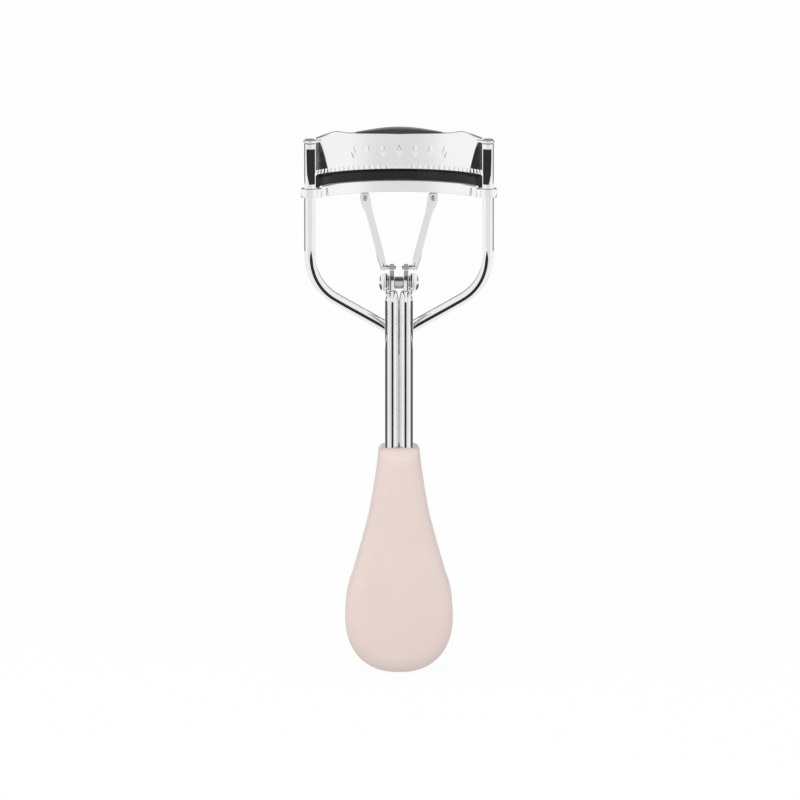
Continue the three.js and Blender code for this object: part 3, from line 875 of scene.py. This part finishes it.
def build_pad():
    low = PAD_LOW[2]
    middle = CHANNEL_R + CHANNEL_W / 2
    rings = []
    for angle in np.linspace(-PAD_HALF, PAD_HALF, 141):
        from_end = (PAD_HALF - abs(angle)) * PLATE_R
        shrink = 1 - PAD_END_SHRINK * (1 - min(from_end / PAD_END_ROUND, 1.0)) ** 2
        rings.append([arc_place(middle + (r - middle) * shrink, angle, low + (z - low) * shrink)
                      for r, z in pad_section()])
    make_piece("silicone_pad", [loft(rings)], "silicone", "lower_jaw_body")


def build_jaw_rivets():
    """Tubular rivets: rolled front head round a deep hollow."""
    shank_front = LEVER_Y - LINK_T / 2 - SIDE_PLAY
    front = shank_front - JAW_RIVET_HEAD_T
    back = JAW_RIVET_HIGH[1]
    shank_back = back - JAW_RIVET_HEAD_T
    profile = solid_profile([
        (0, HOLLOW_END), (HOLLOW_R, HOLLOW_END), (HOLLOW_R, front),
        (JAW_RIVET_HEAD_R, front), (JAW_RIVET_HEAD_R, shank_front), (JAW_RIVET_R, shank_front),
        (JAW_RIVET_R, shank_back), (JAW_RIVET_HEAD_R, shank_back), (JAW_RIVET_HEAD_R, back), (0, back),
    ], FINE_EDGE)
    for word, side in SIDES:
        rivet = turned(profile, "y", (side * LINK_TOP_X, 0, LINK_TOP_Z), sides=48)
        make_piece(f"jaw_rivet_{word}", [rivet], "steel", "lower_jaw_body")


# ---- cross pin assembly ----


def dense_outline(outline):
    """The same closed outline with extra points, so that it can be bent."""
    points = []
    for i, (u, v) in enumerate(outline):
        next_u, next_v = outline[(i + 1) % len(outline)]
        cuts = max(1, int(hypot(next_u - u, next_v - v) / BRACKET_STEP))
        points += [(u + (next_u - u) * k / cuts, v + (next_v - v) * k / cuts) for k in range(cuts)]
    return points


def build_bracket():
    """Folded sheet: a web behind the rear stem and two flared ears."""
    back = BRACKET_HIGH[1]
    low = BRACKET_LOW[2]
    ear = dense_outline(bar_outline((0, 0), BRACKET_EAR_R, BRACKET_FOOT, BRACKET_FOOT_R, 24))
    hole = circle((0, 0), PIN_R + PIN_GAP)
    parts = []
    for _, side in SIDES:
        low_x, high_x = sorted((side * BRACKET_IN, side * BRACKET_OUT))
        points, faces = plate(ear, [hole], "x", low_x, high_x, BRACKET_EDGE)
        share = smoothstep(points[:, 2], FLARE_LOW, FLARE_HIGH)
        points[:, 0] -= side * (BRACKET_IN - WEB_IN) * (1 - share)
        parts.append((points, faces))
    web = [(-WEB_HALF, WEB_TOP), (-WEB_HALF, low + WEB_CORNER), (-WEB_IN, low),
           (WEB_IN, low), (WEB_HALF, low + WEB_CORNER), (WEB_HALF, WEB_TOP)]
    parts.append(plate(web, [], "y", back - BRACKET_T, back, FINE_EDGE))
    make_piece("pivot_bracket", parts, "chrome")


def cap_profile():
    """Domed cap over the pin's end."""
    seat, top = CAP_LOW[0], CAP_HIGH[0]
    hole_r = PIN_R + PIN_GAP
    hole_end = PIN_HIGH[0] + END_GAP
    shoulder = seat + CAP_RIM
    dome = [(CAP_R * cos(a), shoulder + (top - shoulder) * sin(a))
            for a in np.linspace(0, pi / 2, 16)]
    return [(0, hole_end), (hole_r, hole_end), (hole_r, seat), (CAP_R - CAP_EDGE, seat),
            (CAP_R, seat + CAP_EDGE), *dome[:-1], (0, top)]


def build_pin():
    hole_r = PIN_R + PIN_GAP
    pin = block_profile(PIN_R, PIN_LOW[0], PIN_HIGH[0], PIN_EDGE)
    spacer = ring_profile(hole_r, SPACER_R, SPACER_LOW[0], SPACER_HIGH[0], SOFT_EDGE)
    washer = ring_profile(hole_r, WASHER_R, WASHER_LOW[0], WASHER_HIGH[0], WASHER_EDGE)
    make_piece("pivot_pin", [turned(pin, "x")], "steel")
    make_piece("pivot_spacer", [turned(spacer, "x")], "steel")
    for word, side in SIDES:
        make_piece(f"pivot_washer_{word}", [turned(washer, "x", flip=side)], "steel")
        make_piece(f"pivot_cap_{word}", [turned(cap_profile(), "x", flip=side, sides=56)], "chrome")


# ---- front handle ----


def lever_outline():
    """Cheek round the pin, with a neck down into the rod and a lever arm to the back."""
    lever_spread = tangent_spread(CHEEK_R, LEVER_EYE_R, hypot(LEVER_Y, LEVER_Z))
    lever_from, lever_to = LEVER_HEADING - lever_spread, LEVER_HEADING + lever_spread
    neck_heading = atan2(NECK_END[1], NECK_END[0])
    neck_spread = tangent_spread(CHEEK_R, NECK_END_R, hypot(*NECK_END))
    neck_from, neck_to = neck_heading - neck_spread, neck_heading + neck_spread
    eye = arc((LEVER_Y, LEVER_Z), LEVER_EYE_R, lever_from, lever_to, 18)
    cheek = arc((0, 0), CHEEK_R, lever_to, neck_from + 2 * pi, 20)
    neck = arc(NECK_END, NECK_END_R, neck_from, neck_to, 12)
    # inner corner where the neck's back edge meets the lever's lower edge
    neck_back = np.array(neck[-1])
    neck_along = np.array(point_on((0, 0), CHEEK_R, neck_to)) - neck_back
    under_end = np.array(eye[0])
    under_along = np.array(point_on((0, 0), CHEEK_R, lever_from)) - under_end
    reach = np.linalg.solve(np.column_stack([neck_along, -under_along]), under_end - neck_back)
    corner = neck_back + neck_along * reach[0]
    inner = soften([neck_back, corner, under_end], NECK_CORNER, closed=False, steps=8)[1:-1]
    return eye + cheek[:-1] + neck + [tuple(p) for p in inner]


def rod_with_flat_top(side, sides=64):
    """Round rod, squeezed flat over a short length where it runs up into its cheek."""
    heights = [*np.linspace(ROD_LOW[2], ROD_ROUND_TOP, 24),
               *np.linspace(ROD_ROUND_TOP, ROD_FLAT_TOP, 16)[1:]]
    rings = []
    for z in heights:
        flat = float(smoothstep(z, ROD_ROUND_TOP, ROD_FLAT_TOP + FLAT_EASE))
        rounding = max(0.0, (z - ROD_FLAT_TOP + FLAT_CLOSE) / (FLAT_CLOSE + 0.1))
        close = sqrt(max(0.0, 1 - rounding ** 2))
        middle_x = ROD_X + (FLAT_X - ROD_X) * flat
        middle_y = ROD_Y + (FLAT_Y - ROD_Y) * flat
        half_x = (ROD_R + (FLAT_HALF_X - ROD_R) * flat) * close
        half_y = (ROD_R + (FLAT_HALF_Y - ROD_R) * flat) * close
        power = 1 - FLAT_SQUARENESS * flat
        rings.append([(side * (middle_x + half_x * squared(cos(a), power)),
                       middle_y + half_y * squared(sin(a), power), z) for a in all_round(sides)])
    return loft(rings)


def build_front_rods():
    eye_hole = circle((LEVER_Y, LEVER_Z), LEVER_PIN_R + LEVER_PIN_GAP, 24)
    holes = [circle((0, 0), PIN_R + CHEEK_GAP), eye_hole]
    for word, side in SIDES:
        low_x, high_x = sorted((side * CHEEK_IN, side * CHEEK_OUT))
        cheek = plate(lever_outline(), holes, "x", low_x, high_x, CHEEK_EDGE)
        make_piece(f"front_rod_{word}", [rod_with_flat_top(side), cheek], "chrome", "front_handle")


def build_lever_pins():
    low, high = LEVER_PIN_LOW[0], KNUCKLE_OUT + LEVER_PIN_OVER
    profiles = (
        block_profile(LEVER_PIN_HEAD_R, low, low + LEVER_PIN_HEAD_T, FINE_EDGE),
        block_profile(LEVER_PIN_R, low + FINE_EDGE, high - FINE_EDGE, 0.02),
        block_profile(LEVER_PIN_HEAD_R, high - LEVER_PIN_HEAD_T, high, FINE_EDGE),
    )
    for word, side in SIDES:
        parts = [turned(profile, "x", (0, LEVER_Y, LEVER_Z), side) for profile in profiles]
        make_piece(f"lever_pin_{word}", parts, "steel", "front_handle")


# ---- links ----


def strap_outline(foot, head, steps=24):
    """Outline of the strap, even for most of its length and wider at the head, as (x, z)."""
    foot, head = np.array(foot), np.array(head)
    step = head - foot
    heading = atan2(step[1], step[0])
    across = np.array([-sin(heading), cos(heading)])
    shares = np.linspace(0, 1, steps)
    half = LINK_FOOT_R + (LINK_W / 2 - LINK_FOOT_R) * smoothstep(shares, 0, LINK_FOOT_SHARE)
    half = half + (LINK_EYE_R - LINK_W / 2) * smoothstep(shares, *LINK_HEAD_SHARES)
    right = [tuple(foot + step * s - across * h) for s, h in zip(shares, half)]
    left = [tuple(foot + step * s + across * h) for s, h in zip(shares, half)]
    far = arc(head, LINK_EYE_R, heading - pi / 2, heading + pi / 2, 16)[1:-1]
    near = arc(foot, LINK_FOOT_R, heading + pi / 2, heading + 1.5 * pi, 12)[1:-1]
    return right + far + left[::-1] + near


def build_links():
    front, back = LEVER_Y - LINK_T / 2, LEVER_Y + LINK_T / 2
    knuckle = ring_profile(LEVER_PIN_R + LEVER_PIN_GAP, KNUCKLE_R, KNUCKLE_IN, KNUCKLE_OUT, FINE_EDGE)
    for word, side in SIDES:
        foot = (side * LINK_FOOT_X, LEVER_Z)
        head = (side * LINK_TOP_X, LINK_TOP_Z)
        strap = plate(strap_outline(foot, head), [circle(head, LINK_HOLE_R)], "y", front, back, SOFT_EDGE)
        parts = [strap, turned(knuckle, "x", (0, LEVER_Y, LEVER_Z), side)]
        make_piece(f"link_arm_{word}", parts, "chrome", f"link_{word}")


# ---- grips ----


def smooth_through(xs, zs, count):
    """Catmull-Rom curve through points, as (x, z)."""
    points = np.column_stack([xs, zs]).astype(float)
    padded = np.vstack([points[0] + (0, 2.0), points, points[-1] - (0, 2.0)])
    spots = []
    for t in np.linspace(0, len(points) - 1, count):
        i = min(int(t), len(points) - 2)
        s = t - i
        p0, p1, p2, p3 = padded[i:i + 4]
        spots.append(0.5 * (2 * p1 + (p2 - p0) * s + (2 * p0 - 5 * p1 + 4 * p2 - p3) * s ** 2
                            + (3 * p1 - p0 - 3 * p2 + p3) * s ** 3))
    return spots


def grip_flank():
    """Right edge of the teardrop from well above its top down to the middle of its bottom, as (x, z)."""
    depth = GRIP_WIDE_Z - GRIP_BOTTOM
    bottom = [(GRIP_HALF * max(cos(a), 0.0) ** GRIP_SQUARENESS,
               GRIP_WIDE_Z - depth * sin(a) ** GRIP_SQUARENESS)
              for a in np.linspace(0, pi / 2, 120)[1:]]
    side = smooth_through(GRIP_FLANK_X, GRIP_FLANK_Z, 160)
    return np.array([(GRIP_TOP_HALF, GRIP_TOP + GRIP_RIM), *side, *bottom])


def distance_to_line(points, line):
    """Shortest distance from each point to a polyline."""
    start, step = line[:-1], line[1:] - line[:-1]
    away = points[:, None, :] - start[None, :, :]
    share = np.clip((away * step).sum(axis=2) / (step ** 2).sum(axis=1), 0, 1)
    return np.linalg.norm(away - share[:, :, None] * step, axis=2).min(axis=1)


def grip_ring(z, spread, flank, outer_y, inner_y):
    """Closed outline of the teardrop at one height: outer face, wall, inner face, wall."""
    facing = copysign(1, inner_y - outer_y)
    near_top = float(np.clip(1 - (GRIP_TOP - z) / GRIP_RIM, 0, 1))
    corner = GRIP_RIM * (1 - (1 - near_top ** CORNER_POWER) ** (1 / CORNER_POWER))
    half = float(np.interp(-z, -flank[:, 1], flank[:, 0])) - corner
    xs = half * spread
    to_flank = distance_to_line(np.column_stack([np.abs(xs), np.full(len(xs), z)]), flank)
    near_side = np.clip(1 - to_flank / GRIP_RIM, 0, 1)
    near = (near_side ** CORNER_POWER + near_top ** CORNER_POWER) ** (1 / CORNER_POWER)
    near = np.clip(near, 0, 1)
    near[[0, -1]] = 1.0
    near_back = np.clip(1 - (1 - near) * GRIP_RIM / GRIP_BACK_RIM, 0, 1)
    front = outer_y + facing * GRIP_RIM_DEPTH * (1 - np.sqrt(1 - near ** 2))
    back = inner_y - facing * GRIP_BACK_RIM * (1 - np.sqrt(1 - near_back ** 2))
    wall = np.linspace(front[-1], back[-1], 5)[1:-1]
    ring = [*zip(xs, front), *((half, y) for y in wall)]
    ring += [*zip(xs[::-1], back[::-1]), *((-half, y) for y in wall[::-1])]
    return [(x, y, z) for x, y in ring]


def grip_mesh(outer_y, inner_y):
    """Teardrop with a wide soft rim on the outer face and a tight one on the inner face."""
    flank = grip_flank()
    turns = np.linspace(0, pi, GRIP_ROWS)
    heights = GRIP_TOP - (GRIP_TOP - GRIP_BOTTOM) * (1 - np.cos(turns)) / 2
    spread = np.sin(np.linspace(-1, 1, GRIP_COLUMNS) * pi / 2)
    rings = [grip_ring(z, spread, flank, outer_y, inner_y) for z in heights]
    return merged(*loft(rings), 0.002)


def build_grips():
    front = grip_mesh(GRIP_LOW[1], GRIP_HIGH[1])
    rear = grip_mesh(REAR_GRIP_HIGH[1], REAR_GRIP_LOW[1])
    make_piece("front_grip", [front], "pink_plastic", "front_handle", 60)
    make_piece("rear_grip", [rear], "pink_plastic", sharp_deg=60)


# ---- floor, world, lamps, camera ----


def stage_mesh(name, points, faces, material):
    mesh = bpy.data.meshes.new(name)
    mesh.from_pydata(placed(points).tolist(), [], faces)
    mesh.materials.append(material)
    obj = new_object(name, mesh)
    return obj


def sheet(name, centre, half_u, half_v, material):
    """Flat rectangle given by its centre and two half sides, in millimetres."""
    centre, half_u, half_v = (np.array(v, float) for v in (centre, half_u, half_v))
    corners = [centre + u * half_u + v * half_v for u, v in ((-1, -1), (1, -1), (1, 1), (-1, 1))]
    return stage_mesh(name, corners, [(0, 1, 2, 3)], material)


def build_floor():
    """Pale floor that reads near white; it is dimmer as a light source than it looks."""
    material, nodes = new_material("floor")
    ray = nodes.add("ShaderNodeLightPath")
    grain = nodes.noise(nodes.place(), 40.0, 2.0)
    tone = nodes.mix(nodes.range(grain, 0.3, 0.7), (0.9, 0.9, 0.9), (0.88, 0.88, 0.88))
    diffuse = nodes.add("ShaderNodeBsdfDiffuse", {"Color": tone})
    strength = nodes.range(ray.outputs["Is Diffuse Ray"], 0.0, 1.0, 0.99, 0.85)
    glow = nodes.add("ShaderNodeEmission", {"Color": (1, 1, 1, 1), "Strength": strength})
    nodes.finish(nodes.blend(0.05, glow, diffuse))
    floor = sheet("floor", (0, 0, GRIP_BOTTOM), (FLOOR_HALF, 0, 0), (0, FLOOR_HALF, 0), material)
    floor.visible_glossy = False


def build_world():
    """White to the eye and for soft light; in reflections a bright front, dark ceiling and rear wall."""
    world = bpy.data.worlds.new("studio")
    world.use_nodes = True
    nodes = Nodes(world.node_tree)
    ray = nodes.add("ShaderNodeLightPath")
    generated = nodes.add("ShaderNodeTexCoord").outputs["Generated"]
    x, y, z = nodes.add("ShaderNodeSeparateXYZ", {"Vector": generated}).outputs
    squares = nodes.math("ADD", nodes.math("MULTIPLY", x, x), nodes.math("MULTIPLY", y, y))
    flat = nodes.math("SQRT", squares)
    ahead = nodes.math("DIVIDE", nodes.math("MULTIPLY", y, -1.0), nodes.math("MAXIMUM", flat, 0.001))
    tone = nodes.range(ahead, 0.4, 1.0, 0.98, 0.8)
    behind = nodes.range(ahead, -0.35, 0.0, 1.0, 0.0)
    above = nodes.range(z, -0.02, 0.1)
    rear_wall = nodes.math("MULTIPLY", behind, above)
    ceiling = nodes.range(z, 0.45, 0.75)
    dark = nodes.math("MAXIMUM", rear_wall, ceiling)
    shade = nodes.range(y, -0.1, 0.6, 0.06, 0.33)
    bright = nodes.math("MULTIPLY", tone, nodes.math("SUBTRACT", 1.0, dark))
    seen = nodes.math("ADD", bright, nodes.math("MULTIPLY", shade, dark))
    glossy = nodes.add("ShaderNodeBackground", {"Color": (1, 1, 1, 1), "Strength": seen})
    plain = nodes.add("ShaderNodeBackground", {"Color": (1, 1, 1, 1), "Strength": 1.0})
    mixed = nodes.blend(ray.outputs["Is Glossy Ray"], plain, glossy)
    nodes.add("ShaderNodeOutputWorld", {"Surface": mixed.outputs[0]})
    bpy.context.scene.world = world


def aim(obj, place, target):
    """Puts a lamp or the camera at a place, facing a target, both in millimetres."""
    obj.location = Vector(placed(place))
    obj.rotation_euler = (Vector(placed(target)) - obj.location).to_track_quat("-Z", "Y").to_euler()


def build_light(name, place, size, power):
    """Soft rectangular lamp aimed at the grips' middle; it isn't seen in reflections."""
    light = bpy.data.lights.new(name, "AREA")
    light.shape = "RECTANGLE"
    light.size, light.size_y = (s * MM for s in size)
    light.energy = power
    obj = new_object(name, light)
    aim(obj, place, LAMP_TARGET)
    obj.visible_glossy = False
    obj.visible_camera = False


def build_camera():
    scene = bpy.context.scene
    camera = bpy.data.cameras.new("camera")
    camera.sensor_width = SENSOR_WIDTH
    camera.lens = SENSOR_WIDTH * CAMERA_DISTANCE / VIEW_WIDTH
    camera.clip_end = CAMERA_REACH_M
    obj = new_object("camera", camera)
    aim(obj, AIM - VIEW * CAMERA_DISTANCE, AIM)
    scene.camera = obj
    scene.view_settings.view_transform = "Standard"
    scene.view_settings.look = "None"


# ---- cards seen only in reflections ----


def card_material(name, tone, nearest, farthest):
    """Plain card; reflections only find it between the two distances, in millimetres."""
    material, nodes = new_material(name)
    card = nodes.add("ShaderNodeEmission", {"Color": (tone, tone, tone, 1), "Strength": 1.0})
    length = nodes.add("ShaderNodeLightPath").outputs["Ray Length"]
    off = nodes.math("ADD", nodes.math("GREATER_THAN", length, farthest * MM),
                     nodes.math("LESS_THAN", length, nearest * MM))
    nodes.finish(nodes.blend(off, card, nodes.add("ShaderNodeBsdfTransparent")))
    return material


def only_reflected(obj):
    obj.visible_camera = False
    obj.visible_diffuse = False
    obj.visible_shadow = False
    obj.visible_transmission = False


def mirrored_card(name, rows, distance, tone):
    """Card placed where the camera, by reflection in the given (point, normal) spots, will see it.
    Only surfaces about that far from the card see it."""
    points = []
    for point, normal in (spot for row in rows for spot in row):
        normal = np.array(normal, float)
        normal /= np.linalg.norm(normal)
        points.append(np.array(point) + distance * (VIEW - 2 * np.dot(VIEW, normal) * normal))
    material = card_material(name, tone, distance * CARD_NEAREST, distance * CARD_FARTHEST)
    only_reflected(stage_mesh(name, points, grid_faces(len(rows), len(rows[0])), material))


def build_cards():
    """Dark and pale cards round the metal, seen only in reflections: they paint dark and pale reflections
    and painted shade onto the metal, and the ones set by reflection are right only from the camera.
    """
    touching = card_material("card_touching", DARK, 0.0, 7.0)
    near = card_material("card_near", 0.25, 0.0, 31.0)
    far = card_material("card_far", 0.1, 22.0, 41.0)
    for word, side in SIDES:
        build_side_cards(word, side, near, far)
        build_rail_sleeve(word, side, touching)
        build_wing_card(word, side, touching)
        # painted dark reflection line along each bend and diagonal, with painted pale reflections above
        # and below it
        for strip, rows in diagonal_strips(side).items():
            tone = DARK if strip == "line" else PALE
            mirrored_card(f"card_diagonal_{strip}_{word}", rows, 5.0, tone)
        # painted reflections: dark streaks down the front rods and round the rail rivet heads, painted
        # shade on the bracket ears, washers and jaw rivet hollows, pale reflections on the caps, levers
        # and necks
        for place, rows, distance, tone in (
            ("rod", rod_line(side), 1.0, DARK),
            ("ear", disc_edge(side, BRACKET_EAR_R, BRACKET_IN - 0.05, BRACKET_OUT + 0.05), 3.0, DARK),
            ("washer", disc_edge(side, WASHER_R, CHEEK_OUT, BRACKET_IN),
             3.0 + BRACKET_EAR_R - WASHER_R, DARK),
            ("cap", cap_top(side), 4.0, PALE),
            ("jaw_rivet", rivet_hollow(side), 4.5, DARK),
            ("rail_rivet", rivet_head_edge(side), 1.0, DARK),
            ("lever", lever_top(side), 2.5, PALE),
            ("neck", neck_front(side), 4.0, PALE),
        ):
            mirrored_card(f"card_{place}_{word}", rows, distance, tone)


def build_side_cards(word, side, near, far):
    """Dark cards beside the rods and the rails, seen only in reflections, that paint darker reflections
    down their sides; with gaps level with the caps and the lower jaw's ears.
    """
    for place, low, high, front, material in (
        ("rods", GRIP_TOP - 6, -4.5, -8.5, far),
        ("rails", 4.0, EAR_LOW - 1.0, 1.0, near),
        ("tops", EAR_HIGH - 0.3, RAIL_TOP, 1.0, near),
    ):
        middle = (side * SIDE_CARD_X, (front + SIDE_CARD_BACK) / 2, (low + high) / 2)
        half_y = (0, (SIDE_CARD_BACK - front) / 2, 0)
        half_z = (0, 0, (high - low) / 2)
        only_reflected(sheet(f"card_{place}_{word}", middle, half_y, half_z, material))


def build_rail_sleeve(word, side, material):
    """Dark sleeve round the inner front of a rail between the jaws, narrower towards the lower jaw; seen
    only in reflections close by, it paints a dark reflection stripe on the rail.
    """
    points = []
    for z, first in RAIL_SLEEVE:
        for angle in np.radians(np.linspace(first, RAIL_SLEEVE_END, RAIL_SLEEVE_STEPS + 1)):
            x = RAIL_X - RAIL_SLEEVE_R * sin(angle)
            points.append((side * x, -RAIL_SLEEVE_R * cos(angle), z))
    faces = grid_faces(len(RAIL_SLEEVE), RAIL_SLEEVE_STEPS + 1)
    only_reflected(stage_mesh(f"card_rail_{word}", points, faces, material))


def build_wing_card(word, side, material):
    """Small dark card in the bend of the upper jaw, seen only by the plate's ends: a painted dark
    reflection on them.
    """
    outline = [(side * WING_CARD_X, y, z) for y, z in WING_CARD]
    only_reflected(stage_mesh(f"card_wing_{word}", outline, [tuple(range(len(outline)))], material))


def rod_line(side):
    """Spots down the front of a front rod, just inside its middle."""
    normals = [(side * offset, -sqrt(1 - offset ** 2), 0) for offset in (-0.24, -0.1, 0.05)]
    return [[((side * ROD_X + ROD_R * n[0], ROD_Y + ROD_R * n[1], z), n) for n in normals]
            for z in (GRIP_TOP - 1.2, ROD_ROUND_TOP - 0.1)]


def diagonal_strips(side):
    """Spots for a painted dark reflection line along the bend and the diagonal, and for painted pale
    reflections above and below it.
    """
    path = np.array(wire_path(side))
    strips = {"line": [], "above": [], "below": []}
    for point, heading in zip(path, directions(path)):
        if point[2] > DIAGONAL_CARD_TOP or abs(point[0]) < DIAGONAL_CARD_IN:
            continue
        front = np.array((0.0, -1.0, 0.0))
        front = front - heading * np.dot(front, heading)
        front /= np.linalg.norm(front)
        outward = np.cross(front, heading) * side
        middle = -0.2 + 0.3 * float(smoothstep(abs(heading[0]), 0.0, 0.85))
        half = 0.25 * float(smoothstep(DIAGONAL_CARD_TOP - point[2], 0.0, 2.5)) + 0.01
        spots = {
            "line": (middle - half, middle, middle + half),
            "above": (-0.88, -0.6, middle - half - 0.02),
            "below": (middle + half + 0.02, 0.75, 0.96),
        }
        for strip, offsets in spots.items():
            normals = [front * sqrt(1 - offset ** 2) + outward * offset for offset in offsets]
            strips[strip].append([(point + WIRE_R * normal, normal) for normal in normals])
    return strips


def disc_edge(side, radius, low_x, high_x):
    """Spots on the front edge of a disc round the cross pin."""
    rows = []
    for angle in np.radians(np.linspace(-22, 60, 12)):
        normal = (0, -cos(angle), sin(angle))
        y, z = radius * normal[1], radius * normal[2]
        rows.append([((side * x, y, z), normal) for x in (low_x, high_x)])
    return rows


def cap_top(side):
    """Spots over the upper half of a cap."""
    rows = []
    for angle in np.radians(np.linspace(12, 84, 9)):
        radial = np.array((0, -cos(angle), sin(angle)))
        row = []
        for share, turn in ((0.05, 0.0), (0.4, radians(18)), (0.8, radians(45))):
            normal = radial * cos(turn) + np.array((side, 0, 0)) * sin(turn)
            x = CAP_LOW[0] + (CAP_HIGH[0] - CAP_LOW[0]) * share
            row.append((np.array((side * x, 0, 0)) + radial * CAP_R * cos(turn), normal))
        rows.append(row)
    return rows


def rivet_hollow(side):
    """Spots on the bottom of a jaw rivet's hollow."""
    return [[((side * LINK_TOP_X + x, HOLLOW_END, LINK_TOP_Z + z), (0, -1, 0)) for x in (-0.4, 0.4)]
            for z in (-0.4, 0.4)]


def rivet_head_edge(side):
    """Spots round the front edge of a rail rivet's head."""
    normals = [(sin(a), -cos(a), 0) for a in np.radians(np.linspace(-75, 75, 21))]
    return [[((side * RAIL_X + n[0] * RAIL_RIVET_R, n[1] * RAIL_RIVET_R, z), n) for n in normals]
            for z in (TAB_TOP - 0.1, TAB_TOP + 0.35)]


def lever_top(side):
    """Spots over the upper edge of a lever."""
    normal = np.array((0, -sin(LEVER_HEADING), cos(LEVER_HEADING)))
    rows = []
    for share in (0.15, 0.6, 1.25):
        point = np.array((0, LEVER_Y * share, LEVER_Z * share)) + normal * LEVER_EYE_R
        rows.append([(point + (side * x, 0, 0), normal) for x in (CHEEK_IN - 0.3, CHEEK_OUT + 0.3)])
    return rows


def neck_front(side):
    """Spots on the front of a front rod's flattened top."""
    low = ROD_ROUND_TOP - 0.1
    rows = []
    for share in np.linspace(0, 1, 8):
        tilt = radians(4 + 66 * share)
        normal = (0, -cos(tilt), sin(tilt))
        y = ROD_Y - ROD_R + 0.6 * share
        rows.append([((side * x, y, low + (ROD_FLAT_TOP - low) * share), normal) for x in (0.8, 2.6)])
    return rows


# ---- the whole scene ----

build_wires()
build_upper_jaw()
build_lower_jaw()
build_pad()
build_jaw_rivets()
build_bracket()
build_pin()
build_front_rods()
build_lever_pins()
build_links()
build_grips()
build_floor()
build_cards()
build_world()
build_light("key", (-60, -300, 160), (240, 200), 0.5)
build_light("low_fill", (40, -260, -190), (200, 120), 0.25)
build_camera()
